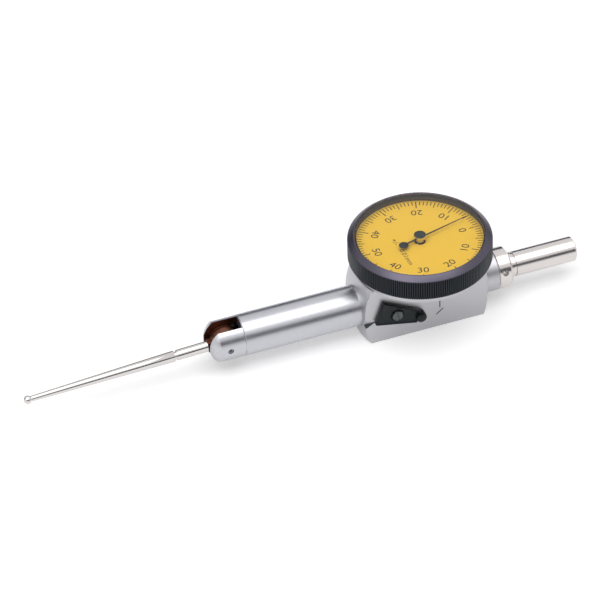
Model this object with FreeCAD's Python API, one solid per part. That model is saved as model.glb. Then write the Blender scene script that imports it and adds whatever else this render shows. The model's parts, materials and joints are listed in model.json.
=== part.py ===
"""Lever-type dial test indicator with a long stylus, a dial on top and a clamping stem behind.

Millimetres. The origin is the root of the 6 mm stem, on its axis: +X runs out along the stem,
+Z up through the dial, and the near side with the changeover lever faces -Y.
"""
import FreeCAD, Part
import math
import os

V = FreeCAD.Vector
X, Y, Z = V(1, 0, 0), V(0, 1, 0), V(0, 0, 1)

# ---------------------------------------------------------------- driving dimensions
STEM_R = 3.0
STEM_LENGTH = 17.0
STEM_CHAMFER = 0.45
STEM_RELIEF = 0.25
STEM_RELIEF_WIDTH = 0.6
STEM_RELIEF_AT = 1.05
COLLAR_R = 4.9
COLLAR_LENGTH = 3.45
COLLAR_CHAMFER = 0.55
TOMMY_R = 0.75
TOMMY_DEPTH = 2.0
TOMMY_RISE = 20.0
STUD_R = 2.2
STUD_LENGTH = 5.5

BODY_R = 10.0
BODY_LENGTH = 30.8
BODY_FRONT_CROWN = 2.0
BODY_REAR_CROWN = 1.2
BODY_NEAR_FLAT = 6.1
BODY_BASE = 7.5
BODY_TOP = 8.0
BOSS_R = 4.9
BOSS_LENGTH = 3.7
EDGE_BREAK = 0.12
DIAL_FROM_REAR = 14.5
WALL = 1.4
POCKET_FRONT_WALL = 2.9
POCKET_REAR_FROM_DIAL = 8.6

NECK_R = 4.9
NECK_BORE_R = 3.9
NECK_LENGTH = 28.5
FORK_R = 4.85
FORK_BORE_R = 3.1
FORK_SPIGOT = 4.0
PIVOT_FROM_SHOULDER = 3.8
NOSE_SHOULDER = 2.2
NOSE_REACH = 4.5
NOSE_TIP_R = 2.0
FORK_FLAT = 4.72
SLOT_WIDTH = 3.7
SLOT_OFFSET = -0.6
SLOT_BEHIND_PIVOT = 3.65
PIVOT_SCREW_R = 0.7
PIVOT_POINT_R = 0.32
PIVOT_POINT_LENGTH = 0.45

STYLUS_REACH = 47.8
STYLUS_DROOP = 2.6
BALL_R = 1.0
SHANK_R = 1.275
SHANK_START = 4.3
NOTCH_AT = 12.2
NOTCH_WIDTH = 0.5
NOTCH_R = 0.95
TAPER_ROOT_R = 1.36
TAPER_TIP_R = 0.68
STYLUS_STUD_R = 0.6
STYLUS_STUD = 2.2

HOLDER_R = 3.45
HOLDER_THICKNESS = 1.8
YOKE_R = 3.4
YOKE_THICKNESS = 0.45
YOKE_SIDE_GAP = 0.2
ARBOR_R = 0.55
WASHER_R = 1.5
ARM_WIDTH = 1.6
ARM_HEIGHT = 2.4
ARM_TIP_HEIGHT = 1.5
CLUTCH_SCREW_R = 0.45

MODULE = 0.176
SECTOR_TEETH = 96
SECTOR_CUT_TEETH = 8
PINION_TEETH = 12
CROWN_TEETH = 36
TOOTH_SHARE = 0.40
INPUT_ARM = 2.9
INPUT_PIN_R = 0.3
INPUT_HALF_SWING = 9.0
SECTOR_Y = -2.0
SECTOR_THICKNESS = 0.8
PINION_FACE = 1.2
CROWN_FACE = 0.9
CROWN_THICKNESS = 0.5
TOOTH_DEPTH_Y = 0.42
STAFF_R = 0.5
PIVOT_R = 0.25
FIT = 0.03

PLATE_THICKNESS = 0.8
PLATE_GAP = 6.4
PLATE_REAR = 8.0
PILLAR_R = 0.95
PILLAR_SPAN_X = 6.5
PILLAR_RISE = 4.95
PLATE_SCREW_HEAD = 0.35
PLATE_SCREW_R = 0.75
PLATE_BOLT_R = 0.4
BRIDGE_THICKNESS = 0.8
BRIDGE_HALF = 6.0
FOOTSTEP_HALF_X = 0.7
FOOTSTEP_Z = 1.5
FOOTSTEP_HEIGHT = 0.8
STOP_PIN_R = 0.4
STOP_GAP = 0.04

CASE_R = 15.3
CASE_RIM = 1.0
CASE_BASE = 1.2
CASE_HEIGHT = 4.9
CASE_OPENING_R = 6.4
CASE_SCREW_R = 0.5
CASE_SCREW_DEPTH = 2.6
CASE_SCREW_SPAN_X = 7.5

BEZEL_WALL = 1.45
BEZEL_FIT = 0.05
BEZEL_SKIRT_ABOVE_BODY = 2.0
BEZEL_BAND_HEIGHT = 4.6
BEZEL_CONE_HEIGHT = 1.6
BEZEL_LIP_WIDTH = 0.25
BEZEL_LIP_INSET = 0.3
BEZEL_LEDGE_WIDTH = 0.4
BEZEL_LEDGE = 0.95
BEZEL_LEDGE_RISE = 0.35
KNURLS = 120
KNURL_DEPTH = 0.2
KNURL_CREST = 0.16
KNURL_BOTTOM = 0.35
KNURL_MARGIN = 0.15
WIRE_HALF = 0.25
WIRE_RISE = 1.1
CRYSTAL_FIT = 0.05
CRYSTAL_THICKNESS = 0.8
CRYSTAL_DOME = 0.75
CRYSTAL_BEVEL = 0.15
CRYSTAL_BREAK_SHARE = 0.6
GASKET_WIDTH = 0.3
GASKET_THICKNESS = 0.2
DIAL_THICKNESS = 0.25
DIAL_ABOVE_CASE = 1.05
DIAL_GAP = 0.3
CARRIER_THICKNESS = 0.5
DIAL_HOLE_R = 1.3
CARRIER_HOLE_R = 1.7

HUB_R = 1.45
HUB_ABOVE_DIAL = 2.05
HUB_HEIGHT = 0.95
HUB_CHAMFER = 0.15
HUB_NECK_R = 1.0
HUB_BORE_R = 0.42
POINTER_SHORT = 1.3
POINTER_WIDTH = 0.34
POINTER_THICKNESS = 0.15
POINTER_TAIL = 4.6
POINTER_TAIL_R = 1.15
POINTER_ANGLE = 14.5
COLLET_R = 1.1
HAIRSPRING_TURNS = 5
HAIRSPRING_PITCH = 0.62
HAIRSPRING_THICKNESS = 0.12
HAIRSPRING_HEIGHT = 0.4
HAIRSPRING_RISE = 0.55
STAFF_STEP = 0.25

LEVER_FROM_DIAL = 8.55
LEVER_Z = -0.15
LEVER_ANGLE = -20.0
LEVER_TAIL = 4.7
LEVER_NOSE = 5.6
LEVER_TAIL_HALF = 3.0
LEVER_NOSE_HALF = 1.6
LEVER_THICKNESS = 0.8
LEVER_RIM = 0.45
LEVER_STAND_OFF = 0.12
NUB_R = 1.3
NUB_HEIGHT = 1.9
LEVER_SCREW_R = 1.3
LEVER_SCREW_HEIGHT = 0.55
LEVER_BOSS_WALL = 0.35
LEVER_SLOT_WIDTH = 0.34
LEVER_SLOT_DEPTH = 0.3
NUB_OFFSET_SHARE = 0.45
CAM_SHAFT_R = 0.8
CAM_R = 1.8
CAM_THICKNESS = 0.4
INDEX_LENGTH = 2.3
INDEX_WIDTH = 2.9
INDEX_DEPTH = 0.6
INDEX_GAP = 0.1
INDEX_DROP = 0.9
INDEX_TIP = 0.02

# ---------------------------------------------------------------- places worked out from them
X_COLLAR = -COLLAR_LENGTH
X_BODY_REAR = X_COLLAR - BOSS_LENGTH
X_BODY_FRONT = X_BODY_REAR - BODY_LENGTH
X_DIAL = X_BODY_REAR - DIAL_FROM_REAR
X_FORK = X_BODY_FRONT - NECK_LENGTH
X_PIVOT = X_FORK - PIVOT_FROM_SHOULDER
X_SLOT = X_PIVOT + SLOT_BEHIND_PIVOT
X_POCKET_FRONT = X_BODY_FRONT + POCKET_FRONT_WALL
X_POCKET_REAR = X_DIAL + POCKET_REAR_FROM_DIAL
X_SECTOR = X_DIAL - MODULE * (SECTOR_TEETH + PINION_TEETH) / 2
X_INPUT = X_SECTOR - INPUT_ARM
X_LEVER = X_DIAL - LEVER_FROM_DIAL
ROCKER_ARM = X_INPUT - X_PIVOT
ROCKER_TILT = math.degrees(math.asin(INPUT_ARM * math.sin(math.radians(INPUT_HALF_SWING)) / ROCKER_ARM))

PINION_PITCH_R = MODULE * PINION_TEETH / 2
PINION_TIP_R = PINION_PITCH_R + MODULE
CROWN_PITCH_R = MODULE * CROWN_TEETH / 2
Y_POCKET = BODY_NEAR_FLAT - WALL
Z_POCKET = -BODY_BASE + WALL
Y_PLATE = PLATE_GAP / 2
Y_PLATE_OUT = Y_PLATE + PLATE_THICKNESS
PLATE_TOP = BODY_TOP - BRIDGE_THICKNESS
CASE_TOP = BODY_TOP + CASE_HEIGHT
BEZEL_BORE_R = CASE_R + BEZEL_FIT
BEZEL_R = BEZEL_BORE_R + BEZEL_WALL
BEZEL_INNER_R = CASE_R - BEZEL_LIP_INSET
BEZEL_LEDGE_R = BEZEL_INNER_R - BEZEL_LEDGE_WIDTH
BEZEL_SKIRT = BODY_TOP + BEZEL_SKIRT_ABOVE_BODY
BEZEL_SHOULDER = BEZEL_SKIRT + BEZEL_BAND_HEIGHT
BEZEL_LIP = BEZEL_SHOULDER + BEZEL_CONE_HEIGHT
WIRE_Z = BEZEL_SKIRT + WIRE_RISE
DIAL_TOP = CASE_TOP + DIAL_ABOVE_CASE
LEDGE_LOW = DIAL_TOP + BEZEL_LEDGE_RISE
LEDGE_TOP = LEDGE_LOW + BEZEL_LEDGE
CRYSTAL_R = BEZEL_INNER_R - CRYSTAL_FIT
CRYSTAL_Z = LEDGE_TOP + GASKET_THICKNESS
HUB_TOP = DIAL_TOP + HUB_ABOVE_DIAL
HUB_BASE = HUB_TOP - HUB_HEIGHT
HUB_LOW = DIAL_TOP + DIAL_GAP
POINTER_TIP = BEZEL_LEDGE_R - POINTER_SHORT
HAIRSPRING_Z = BODY_TOP + HAIRSPRING_RISE
BALL_SEAT = math.sqrt(BALL_R ** 2 - TAPER_TIP_R ** 2)
YOKE_OUT = SLOT_WIDTH / 2 - YOKE_SIDE_GAP
YOKE_IN = YOKE_OUT - YOKE_THICKNESS
LEVER_FACE = BODY_NEAR_FLAT + LEVER_STAND_OFF


# ---------------------------------------------------------------- small helpers
def face_of(points):
    """A flat face through the points."""
    return Part.Face(Part.makePolygon(list(points) + [points[0]]))


def rod(axis, centre, radius, start, end):
    """A cylinder along an axis, from start to end measured from the centre."""
    return Part.makeCylinder(radius, end - start, centre + axis * start, axis)


def block(x0, x1, y0, y1, z0, z1):
    """A box between two corners."""
    return Part.makeBox(x1 - x0, y1 - y0, z1 - z0, V(x0, y0, z0))


def turned_x(profile, centre=V(0, 0, 0)):
    """A body turned about an X axis from (x, radius) points, each place measured from the centre."""
    face = face_of([centre + V(x, 0, r) for x, r in profile])
    return face.revolve(centre, X, 360)


def turned_z(profile, centre):
    """A body turned about a Z axis from (radius, z) points."""
    face = face_of([V(centre.x + r, centre.y, z) for r, z in profile])
    return face.revolve(centre, Z, 360)


def sheet_y(points, y0, y1):
    """A flat plate in the XZ plane from (x, z) points, between two places along Y."""
    return face_of([V(x, y0, z) for x, z in points]).extrude(V(0, y1 - y0, 0))


def fused(first, *others):
    """One solid of several that touch."""
    return first.fuse(list(others)).removeSplitter()


def save(name, *shapes):
    """Writes one node, as one solid or as a group of separate ones."""
    shape = shapes[0] if len(shapes) == 1 else Part.makeCompound(list(shapes))
    shape.exportStep("parts/" + name + ".step")


def dial_point(z=0.0):
    return V(X_DIAL, 0, z)


def pivot_point(y=0.0):
    return V(X_PIVOT, y, 0)


def gear_points(teeth, first, count, phase=0.0):
    """(x, z) tooth outline points of a spur gear about the origin, teeth from first for count."""
    pitch_r = MODULE * teeth / 2
    root_r = pitch_r - 1.25 * MODULE
    tip_r = pitch_r + MODULE
    step = 2 * math.pi / teeth
    points = []
    for index in range(first, first + count):
        middle = index * step + phase
        for radius, share in ((root_r, -0.62), (pitch_r, -0.5), (tip_r, -0.28),
                              (tip_r, 0.28), (pitch_r, 0.5), (root_r, 0.62)):
            angle = middle + share * TOOTH_SHARE * step
            points.append((radius * math.cos(angle), radius * math.sin(angle)))
    return points


# ---------------------------------------------------------------- frame: housing, neck, fork, stem
def housing():
    """Turned body with a boss behind, two flats, a pocket for the movement and an index notch."""
    front_step = (NECK_R + BODY_R) / 2
    rear_step = (BOSS_R + BODY_R) / 2
    body = turned_x([(X_BODY_FRONT, 0), (X_BODY_FRONT, NECK_R),
                     (X_BODY_FRONT + BODY_FRONT_CROWN * 0.4, front_step), (X_BODY_FRONT + BODY_FRONT_CROWN, BODY_R),
                     (X_BODY_REAR - BODY_REAR_CROWN, BODY_R), (X_BODY_REAR - BODY_REAR_CROWN * 0.35, rear_step),
                     (X_BODY_REAR, BOSS_R), (X_COLLAR - EDGE_BREAK, BOSS_R), (X_COLLAR, BOSS_R - EDGE_BREAK),
                     (X_COLLAR, 0)])
    big = BODY_R * 2
    body = body.cut(block(X_BODY_FRONT - 1, X_BODY_REAR + 0.01, -big, -BODY_NEAR_FLAT, -big, big))
    body = body.cut(block(X_BODY_FRONT - 1, X_BODY_REAR + 0.01, -big, big, -big, -BODY_BASE))
    body = body.cut(block(X_BODY_FRONT - 1, X_BODY_REAR + 0.01, -big, big, BODY_TOP, big))
    pocket = block(X_POCKET_FRONT, X_POCKET_REAR, -Y_POCKET, Y_POCKET, Z_POCKET, BODY_TOP + 1)
    neck_seat = rod(X, V(X_BODY_FRONT, 0, 0), NECK_R, -1, POCKET_FRONT_WALL + 0.5)
    stud_hole = rod(X, V(X_COLLAR, 0, 0), STUD_R, -STUD_LENGTH - 0.3, 1)
    cam_hole = rod(Y, V(X_LEVER, 0, LEVER_Z), CAM_SHAFT_R + FIT, -BODY_R, -Y_POCKET + 1)
    body = body.cut([pocket, neck_seat, stud_hole, cam_hole, index_notch()] + case_screw_holes())
    return body


def index_notch():
    """V notch in the near flat, open at the front edge, that the changeover lever is read against."""
    tip = V(X_LEVER - LEVER_TAIL + INDEX_GAP, -BODY_NEAR_FLAT, LEVER_Z - INDEX_DROP)
    stretch = (tip.x - X_BODY_FRONT) / INDEX_LENGTH
    above = tip.y - LEVER_STAND_OFF
    spread = INDEX_WIDTH / 2 * stretch
    mouth = face_of([V(X_BODY_FRONT, above, tip.z + spread), V(X_BODY_FRONT, above, tip.z - spread),
                     V(X_BODY_FRONT, tip.y + INDEX_DEPTH * stretch, tip.z - spread / 2)])
    point = face_of([V(tip.x, above, tip.z + INDEX_TIP), V(tip.x, above, tip.z - INDEX_TIP),
                     V(tip.x, tip.y + INDEX_TIP, tip.z)])
    return Part.makeLoft([mouth.OuterWire, point.OuterWire], True, True)


def case_screw_places():
    top_edge = math.sqrt(BODY_R ** 2 - BODY_TOP ** 2)
    across = (Y_POCKET + top_edge) / 2
    return [V(X_DIAL + sx * CASE_SCREW_SPAN_X, sy * across, BODY_TOP) for sx in (-1, 1) for sy in (-1, 1)]


def case_screw_holes():
    return [rod(Z, place, CASE_SCREW_R, -CASE_SCREW_DEPTH - 0.1, 1) for place in case_screw_places()]


def neck_tube():
    """Round tube between the body and the fork head."""
    outline = [(X_FORK + EDGE_BREAK, NECK_R), (X_POCKET_FRONT, NECK_R), (X_POCKET_FRONT, NECK_BORE_R),
               (X_FORK, NECK_BORE_R),
               (X_FORK, NECK_R - EDGE_BREAK)]
    return turned_x(outline)


def fork_head():
    """Slotted head with side flats and a domed nose, on a spigot in the neck tube."""
    shoulder = X_PIVOT - NOSE_SHOULDER
    nose = X_PIVOT - NOSE_REACH
    spigot_r = NECK_BORE_R - FIT
    head = turned_x([(nose, 0), (nose, NOSE_TIP_R), (nose + (shoulder - nose) * 0.4, (NOSE_TIP_R + FORK_R) / 2 + 0.25),
                     (shoulder, FORK_R), (X_FORK - EDGE_BREAK, FORK_R), (X_FORK, FORK_R - EDGE_BREAK),
                     (X_FORK, spigot_r), (X_FORK + FORK_SPIGOT, spigot_r), (X_FORK + FORK_SPIGOT, 0)])
    big = FORK_R * 2
    half = SLOT_WIDTH / 2
    slot = block(nose - 1, X_SLOT, SLOT_OFFSET - half, SLOT_OFFSET + half, -big, big)
    bore = rod(X, V(X_SLOT, 0, 0), FORK_BORE_R, -0.3, FORK_SPIGOT + SLOT_BEHIND_PIVOT)
    flats = [block(nose - 1, X_FORK - EDGE_BREAK, side * big if side < 0 else FORK_FLAT,
                   -FORK_FLAT if side < 0 else big, -big, big) for side in (-1, 1)]
    holes = rod(Y, pivot_point(), PIVOT_SCREW_R, -big, big)
    return head.cut([slot, bore, holes] + flats)


def pivot_screws():
    """Two headless screws in the cheeks whose points carry the rocker's arbor."""
    screws = []
    for side in (-1, 1):
        slot_face = SLOT_OFFSET + side * SLOT_WIDTH / 2
        outer = side * (FORK_FLAT - 0.15)
        low, high = sorted((slot_face, outer))
        shank = rod(Y, pivot_point(), PIVOT_SCREW_R, low, high)
        tip = slot_face - side * (YOKE_SIDE_GAP + PIVOT_POINT_LENGTH)
        low, high = sorted((slot_face, tip))
        point = rod(Y, pivot_point(), PIVOT_POINT_R, low, high)
        turned_driver = block(X_PIVOT - 0.1, X_PIVOT + 0.1, outer - 0.2, outer + 0.2, -1, 1)
        screws.append(fused(shank, point).cut(turned_driver))
    return screws


def stem():
    """Clamping stem with its collar and the stud that screws into the body's boss."""
    relief = STEM_R - STEM_RELIEF
    outline = [(-COLLAR_LENGTH - STUD_LENGTH, 0), (-COLLAR_LENGTH - STUD_LENGTH, STUD_R), (X_COLLAR, STUD_R),
               (X_COLLAR, COLLAR_R - EDGE_BREAK), (X_COLLAR + EDGE_BREAK, COLLAR_R),
               (-COLLAR_CHAMFER, COLLAR_R), (0, COLLAR_R - COLLAR_CHAMFER), (0, STEM_R),
               (STEM_RELIEF_AT, STEM_R), (STEM_RELIEF_AT, relief),
               (STEM_RELIEF_AT + STEM_RELIEF_WIDTH, relief), (STEM_RELIEF_AT + STEM_RELIEF_WIDTH, STEM_R),
               (STEM_LENGTH - STEM_CHAMFER, STEM_R), (STEM_LENGTH, STEM_R - STEM_CHAMFER), (STEM_LENGTH, 0)]
    angle = math.radians(TOMMY_RISE)
    inward = V(0, math.cos(angle), -math.sin(angle))
    middle = (X_COLLAR - COLLAR_CHAMFER) / 2
    start = V(middle, 0, 0) - inward * (COLLAR_R + 1)
    return turned_x(outline).cut(Part.makeCylinder(TOMMY_R, TOMMY_DEPTH + 1, start, inward))


# ---------------------------------------------------------------- rocker and stylus
def tilted(shape, degrees=None):
    """Turns a rocker piece about the pivot to its place at rest."""
    turned = shape.copy()
    turned.rotate(pivot_point(), Y, -ROCKER_TILT if degrees is None else degrees)
    return turned


def rocker_lever():
    """Yoke round the stylus holder, and the long arm whose forked end drives the sector."""
    bridge_x = X_PIVOT + HOLDER_R + 0.2
    bridge_end = bridge_x + 1.4
    half = ARM_HEIGHT / 2
    pieces = []
    for side in (-1, 1):
        low, high = sorted((SLOT_OFFSET + side * YOKE_IN, SLOT_OFFSET + side * YOKE_OUT))
        pieces.append(rod(Y, pivot_point(), YOKE_R, low, high))
        pieces.append(block(X_PIVOT, bridge_end, low, high, -half, half))
    pieces.append(block(bridge_x, bridge_end, SLOT_OFFSET - YOKE_OUT, SLOT_OFFSET + YOKE_OUT, -half, half))
    tip = ARM_TIP_HEIGHT / 2
    prong = INPUT_PIN_R + 0.6
    outline = [(bridge_end - 0.2, -half), (bridge_end - 0.2, half), (X_INPUT - 1.2, tip), (X_INPUT + prong, tip),
               (X_INPUT + prong, -tip), (X_INPUT - 1.2, -tip)]
    low = SLOT_OFFSET - ARM_WIDTH / 2
    high = SLOT_OFFSET + ARM_WIDTH / 2
    pieces.append(sheet_y(outline, low, high))
    notch = INPUT_PIN_R + FIT
    mouth = block(X_INPUT - prong, X_INPUT + prong + 1, low - 1, high + 1, -notch, notch)
    arbor_hole = rod(Y, pivot_point(), ARBOR_R, -BODY_R, BODY_R)
    return tilted(fused(*pieces).cut([mouth, arbor_hole, clutch_screw_hole()]))


def clutch_screw_hole():
    x = X_PIVOT + HOLDER_R + 0.9
    return rod(Z, V(x, SLOT_OFFSET, 0), CLUTCH_SCREW_R, -0.2, ARM_HEIGHT)


def clutch_screw():
    """Small screw in the top of the yoke's bridge that sets the holder's friction."""
    x = X_PIVOT + HOLDER_R + 0.9
    top = ARM_HEIGHT / 2
    shank = rod(Z, V(x, SLOT_OFFSET, 0), CLUTCH_SCREW_R, -0.2, top)
    head = rod(Z, V(x, SLOT_OFFSET, top), CLUTCH_SCREW_R + 0.2, 0, 0.35)
    return tilted(fused(shank, head))


def rocker_arbor():
    """Arbor through the yoke and the holder, cupped at both ends for the pivot screws."""
    arbor = rod(Y, pivot_point(), ARBOR_R, SLOT_OFFSET - YOKE_OUT, SLOT_OFFSET + YOKE_OUT)
    cup = PIVOT_POINT_LENGTH + FIT
    ends = [rod(Y, pivot_point(), PIVOT_POINT_R + FIT, SLOT_OFFSET - YOKE_OUT - 1, SLOT_OFFSET - YOKE_OUT + cup),
            rod(Y, pivot_point(), PIVOT_POINT_R + FIT, SLOT_OFFSET + YOKE_OUT - cup, SLOT_OFFSET + YOKE_OUT + 1)]
    return arbor.cut(ends)


def clutch_washers():
    """Thin friction washers on both sides of the stylus holder."""
    washers = []
    for side in (-1, 1):
        inner = HOLDER_THICKNESS / 2 + FIT
        low, high = sorted((SLOT_OFFSET + side * inner, SLOT_OFFSET + side * YOKE_IN))
        ring = rod(Y, pivot_point(), WASHER_R, low, high)
        washers.append(ring.cut(rod(Y, pivot_point(), ARBOR_R, low - 1, high + 1)))
    return washers


def drooped(shape):
    """Turns a stylus piece, made pointing along -X from the pivot, to the set angle at rest."""
    return tilted(shape, -STYLUS_DROOP)


def stylus_holder():
    """Round holder that turns in the yoke under friction and takes the screwed-in stylus."""
    half = HOLDER_THICKNESS / 2
    disc = rod(Y, pivot_point(), HOLDER_R, SLOT_OFFSET - half, SLOT_OFFSET + half)
    lug = block(X_PIVOT - SHANK_START, X_PIVOT, SLOT_OFFSET - half, SLOT_OFFSET + half, -SHANK_R, SHANK_R)
    arbor = rod(Y, pivot_point(), ARBOR_R + FIT, -BODY_R, BODY_R)
    thread = rod(X, V(X_PIVOT, SLOT_OFFSET, 0), STYLUS_STUD_R, -SHANK_START - 1, -SHANK_START + STYLUS_STUD)
    return drooped(fused(disc, lug).cut([arbor, thread]))


def stylus():
    """Tapered stylus with a spanner notch and a threaded stud."""
    centre = V(X_PIVOT, SLOT_OFFSET, 0)
    notch = NOTCH_WIDTH / 2
    tip = STYLUS_REACH - BALL_SEAT
    outline = [(-SHANK_START + STYLUS_STUD, 0), (-SHANK_START + STYLUS_STUD, STYLUS_STUD_R),
               (-SHANK_START, STYLUS_STUD_R), (-SHANK_START, SHANK_R), (-NOTCH_AT + notch, SHANK_R),
               (-NOTCH_AT + notch, NOTCH_R), (-NOTCH_AT - notch, NOTCH_R), (-NOTCH_AT - notch, TAPER_ROOT_R),
               (-tip, TAPER_TIP_R), (-tip, 0)]
    return drooped(turned_x(outline, centre))


def stylus_ball():
    """Contact ball, seated on the stylus tip by a small flat."""
    ball = Part.makeSphere(BALL_R, V(X_PIVOT - STYLUS_REACH, SLOT_OFFSET, 0), X)
    seat = X_PIVOT - STYLUS_REACH + BALL_SEAT
    return drooped(ball.cut(rod(X, V(seat, SLOT_OFFSET, 0), BALL_R, 0, BALL_R)))


# ---------------------------------------------------------------- gear train
def sector_place():
    return V(X_SECTOR, 0, 0)


def sector_gear():
    """Toothed sector with the short input arm in front of its arbor."""
    y0 = SECTOR_Y - SECTOR_THICKNESS / 2
    y1 = SECTOR_Y + SECTOR_THICKNESS / 2
    lowest = -(SECTOR_CUT_TEETH - 3)
    teeth = gear_points(SECTOR_TEETH, lowest, SECTOR_CUT_TEETH)
    hub_low = (STAFF_R + 0.25, -STAFF_R - 0.35)
    hub_high = (STAFF_R + 0.25, STAFF_R + 0.35)
    outline = [(X_SECTOR + x, z) for x, z in [hub_low] + teeth + [hub_high]]
    web = sheet_y(outline, y0, y1)
    hub = rod(Y, sector_place(), STAFF_R + 0.55, y0, y1)
    angle = math.radians(INPUT_HALF_SWING)
    pin = input_pin_place()
    along = V(-math.cos(angle), 0, math.sin(angle))
    side = V(math.sin(angle), 0, math.cos(angle)) * (INPUT_PIN_R + 0.2)
    root = sector_place() + V(0, y0, 0)
    end = pin + V(0, y0, 0)
    arm = face_of([root + side, end + side, end - side, root - side]).extrude(V(0, SECTOR_THICKNESS, 0))
    eye = rod(Y, pin, INPUT_PIN_R + 0.2, y0, y1)
    gear = fused(web, hub, arm, eye)
    return gear.cut([rod(Y, sector_place(), STAFF_R, y0 - 1, y1 + 1), rod(Y, pin, INPUT_PIN_R, y0 - 1, y1 + 1)])


def input_pin_place():
    angle = math.radians(INPUT_HALF_SWING)
    return V(X_SECTOR - INPUT_ARM * math.cos(angle), 0, INPUT_ARM * math.sin(angle))


def input_pin():
    """Pin of the sector that sits between the prongs of the rocker's arm."""
    y0 = SECTOR_Y - SECTOR_THICKNESS / 2
    return rod(Y, input_pin_place(), INPUT_PIN_R, y0, SLOT_OFFSET + ARM_WIDTH / 2)


def staff(place):
    """Arbor along Y between the plates, with a finer pivot at each end."""
    half = Y_PLATE - STAFF_STEP
    return fused(rod(Y, place, STAFF_R, -half, half), rod(Y, place, PIVOT_R, -Y_PLATE_OUT, -half),
                 rod(Y, place, PIVOT_R, half, Y_PLATE_OUT))


def crown_pinion_arbor():
    """Arbor of the crown wheel with its pinion cut in one with it."""
    y0 = SECTOR_Y - PINION_FACE / 2
    half_pitch = math.pi / PINION_TEETH
    points = gear_points(PINION_TEETH, 0, PINION_TEETH, half_pitch)
    pinion = sheet_y([(X_DIAL + x, z) for x, z in points], y0, y0 + PINION_FACE)
    return fused(staff(dial_point()), pinion)


def crown_wheel():
    """Contrate wheel: a thin disc with teeth standing off its rim towards the centre pinion."""
    tips = PINION_PITCH_R - MODULE * 0.9
    y0 = tips + TOOTH_DEPTH_Y
    inner = CROWN_PITCH_R - CROWN_FACE / 2
    outer = CROWN_PITCH_R + CROWN_FACE / 2
    disc = rod(Y, dial_point(), outer, y0, y0 + CROWN_THICKNESS)
    disc = disc.cut(rod(Y, dial_point(), STAFF_R, y0 - 1, y0 + 2))
    pitch = 2 * math.pi * CROWN_PITCH_R / CROWN_TEETH
    root = pitch * TOOTH_SHARE * 0.62
    tip = pitch * TOOTH_SHARE * 0.26
    tooth = Part.makeLoft([Part.makePolygon([V(x, y, z) for x, z in
                           ((-w, inner), (w, inner), (w, outer), (-w, outer), (-w, inner))])
                           for y, w in ((y0 + 0.05, root), (tips, tip))], True, True)
    tooth.translate(dial_point())
    teeth = []
    for index in range(CROWN_TEETH):
        copy = tooth.copy()
        copy.rotate(dial_point(), Y, 360.0 * (index + 0.5) / CROWN_TEETH)
        teeth.append(copy)
    return fused(disc, *teeth)


def centre_arbor():
    """Upright arbor under the pointer, with its pinion on the crown wheel's teeth."""
    pinion_low = CROWN_PITCH_R - CROWN_FACE / 2 - 0.15
    pinion_high = CROWN_PITCH_R + CROWN_FACE / 2 + 0.15
    points = [V(X_DIAL + x, y, pinion_low) for x, y in gear_points(PINION_TEETH, 0, PINION_TEETH)]
    pinion = face_of(points).extrude(V(0, 0, pinion_high - pinion_low))
    pinion.rotate(dial_point(), Z, 90)
    low = FOOTSTEP_Z + FOOTSTEP_HEIGHT
    foot = rod(Z, dial_point(), PIVOT_R, FOOTSTEP_Z + 0.1, low + 0.05)
    shaft = rod(Z, dial_point(), HUB_BORE_R, low + 0.05, HUB_TOP - HUB_HEIGHT / 2)
    return fused(pinion, foot, shaft)


def pointer_hub():
    """Turned hub on the arbor: a wide cap over a narrower ring that grips the pointer."""
    outline = [(HUB_BORE_R, HUB_LOW), (HUB_NECK_R, HUB_LOW), (HUB_NECK_R, HUB_BASE), (HUB_R, HUB_BASE),
               (HUB_R, HUB_TOP - HUB_CHAMFER), (HUB_R - HUB_CHAMFER, HUB_TOP), (0, HUB_TOP),
               (0, HUB_TOP - HUB_HEIGHT / 2), (HUB_BORE_R, HUB_TOP - HUB_HEIGHT / 2)]
    return turned_z(outline, dial_point())


def pointer():
    """Thin needle with a round counterweight, gripped under the hub's cap."""
    z0 = HUB_BASE - POINTER_THICKNESS
    half = POINTER_WIDTH / 2
    outline = [(HUB_NECK_R * 0.9, half), (POINTER_TIP, half * 0.3), (POINTER_TIP, -half * 0.3),
               (HUB_NECK_R * 0.9, -half)]
    needle = face_of([V(X_DIAL + x, y, z0) for x, y in outline]).extrude(V(0, 0, POINTER_THICKNESS))
    tail = block(X_DIAL - POINTER_TAIL, X_DIAL - HUB_NECK_R * 0.9, -half, half, z0, HUB_BASE)
    eye = rod(Z, dial_point(z0), HUB_NECK_R + 0.35, 0, POINTER_THICKNESS)
    weight = rod(Z, V(X_DIAL - POINTER_TAIL, 0, z0), POINTER_TAIL_R, 0, POINTER_THICKNESS)
    hand = fused(needle, tail, eye, weight).cut(rod(Z, dial_point(z0), HUB_NECK_R, -1, 1))
    hand.rotate(dial_point(), Z, POINTER_ANGLE)
    return hand


def hairspring_collet():
    """Collet on the centre arbor that the hairspring pulls round."""
    ring = rod(Z, dial_point(HAIRSPRING_Z - 0.1), COLLET_R, 0, HAIRSPRING_HEIGHT + 0.2)
    return ring.cut(rod(Z, dial_point(), HUB_BORE_R, 0, HUB_TOP))


def hairspring():
    """Flat spiral spring that takes up the backlash of the train."""
    start = COLLET_R + 2 * FIT + HAIRSPRING_THICKNESS / 2
    steps = 20
    inner = []
    outer = []
    for index in range(HAIRSPRING_TURNS * steps + 1):
        angle = 2 * math.pi * index / steps
        radius = start + HAIRSPRING_PITCH * angle / (2 * math.pi)
        for points, offset in ((inner, -0.5), (outer, 0.5)):
            r = radius + offset * HAIRSPRING_THICKNESS
            points.append(V(X_DIAL + r * math.cos(angle), r * math.sin(angle), HAIRSPRING_Z))
    return face_of(inner + outer[::-1]).extrude(V(0, 0, HAIRSPRING_HEIGHT))


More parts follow.
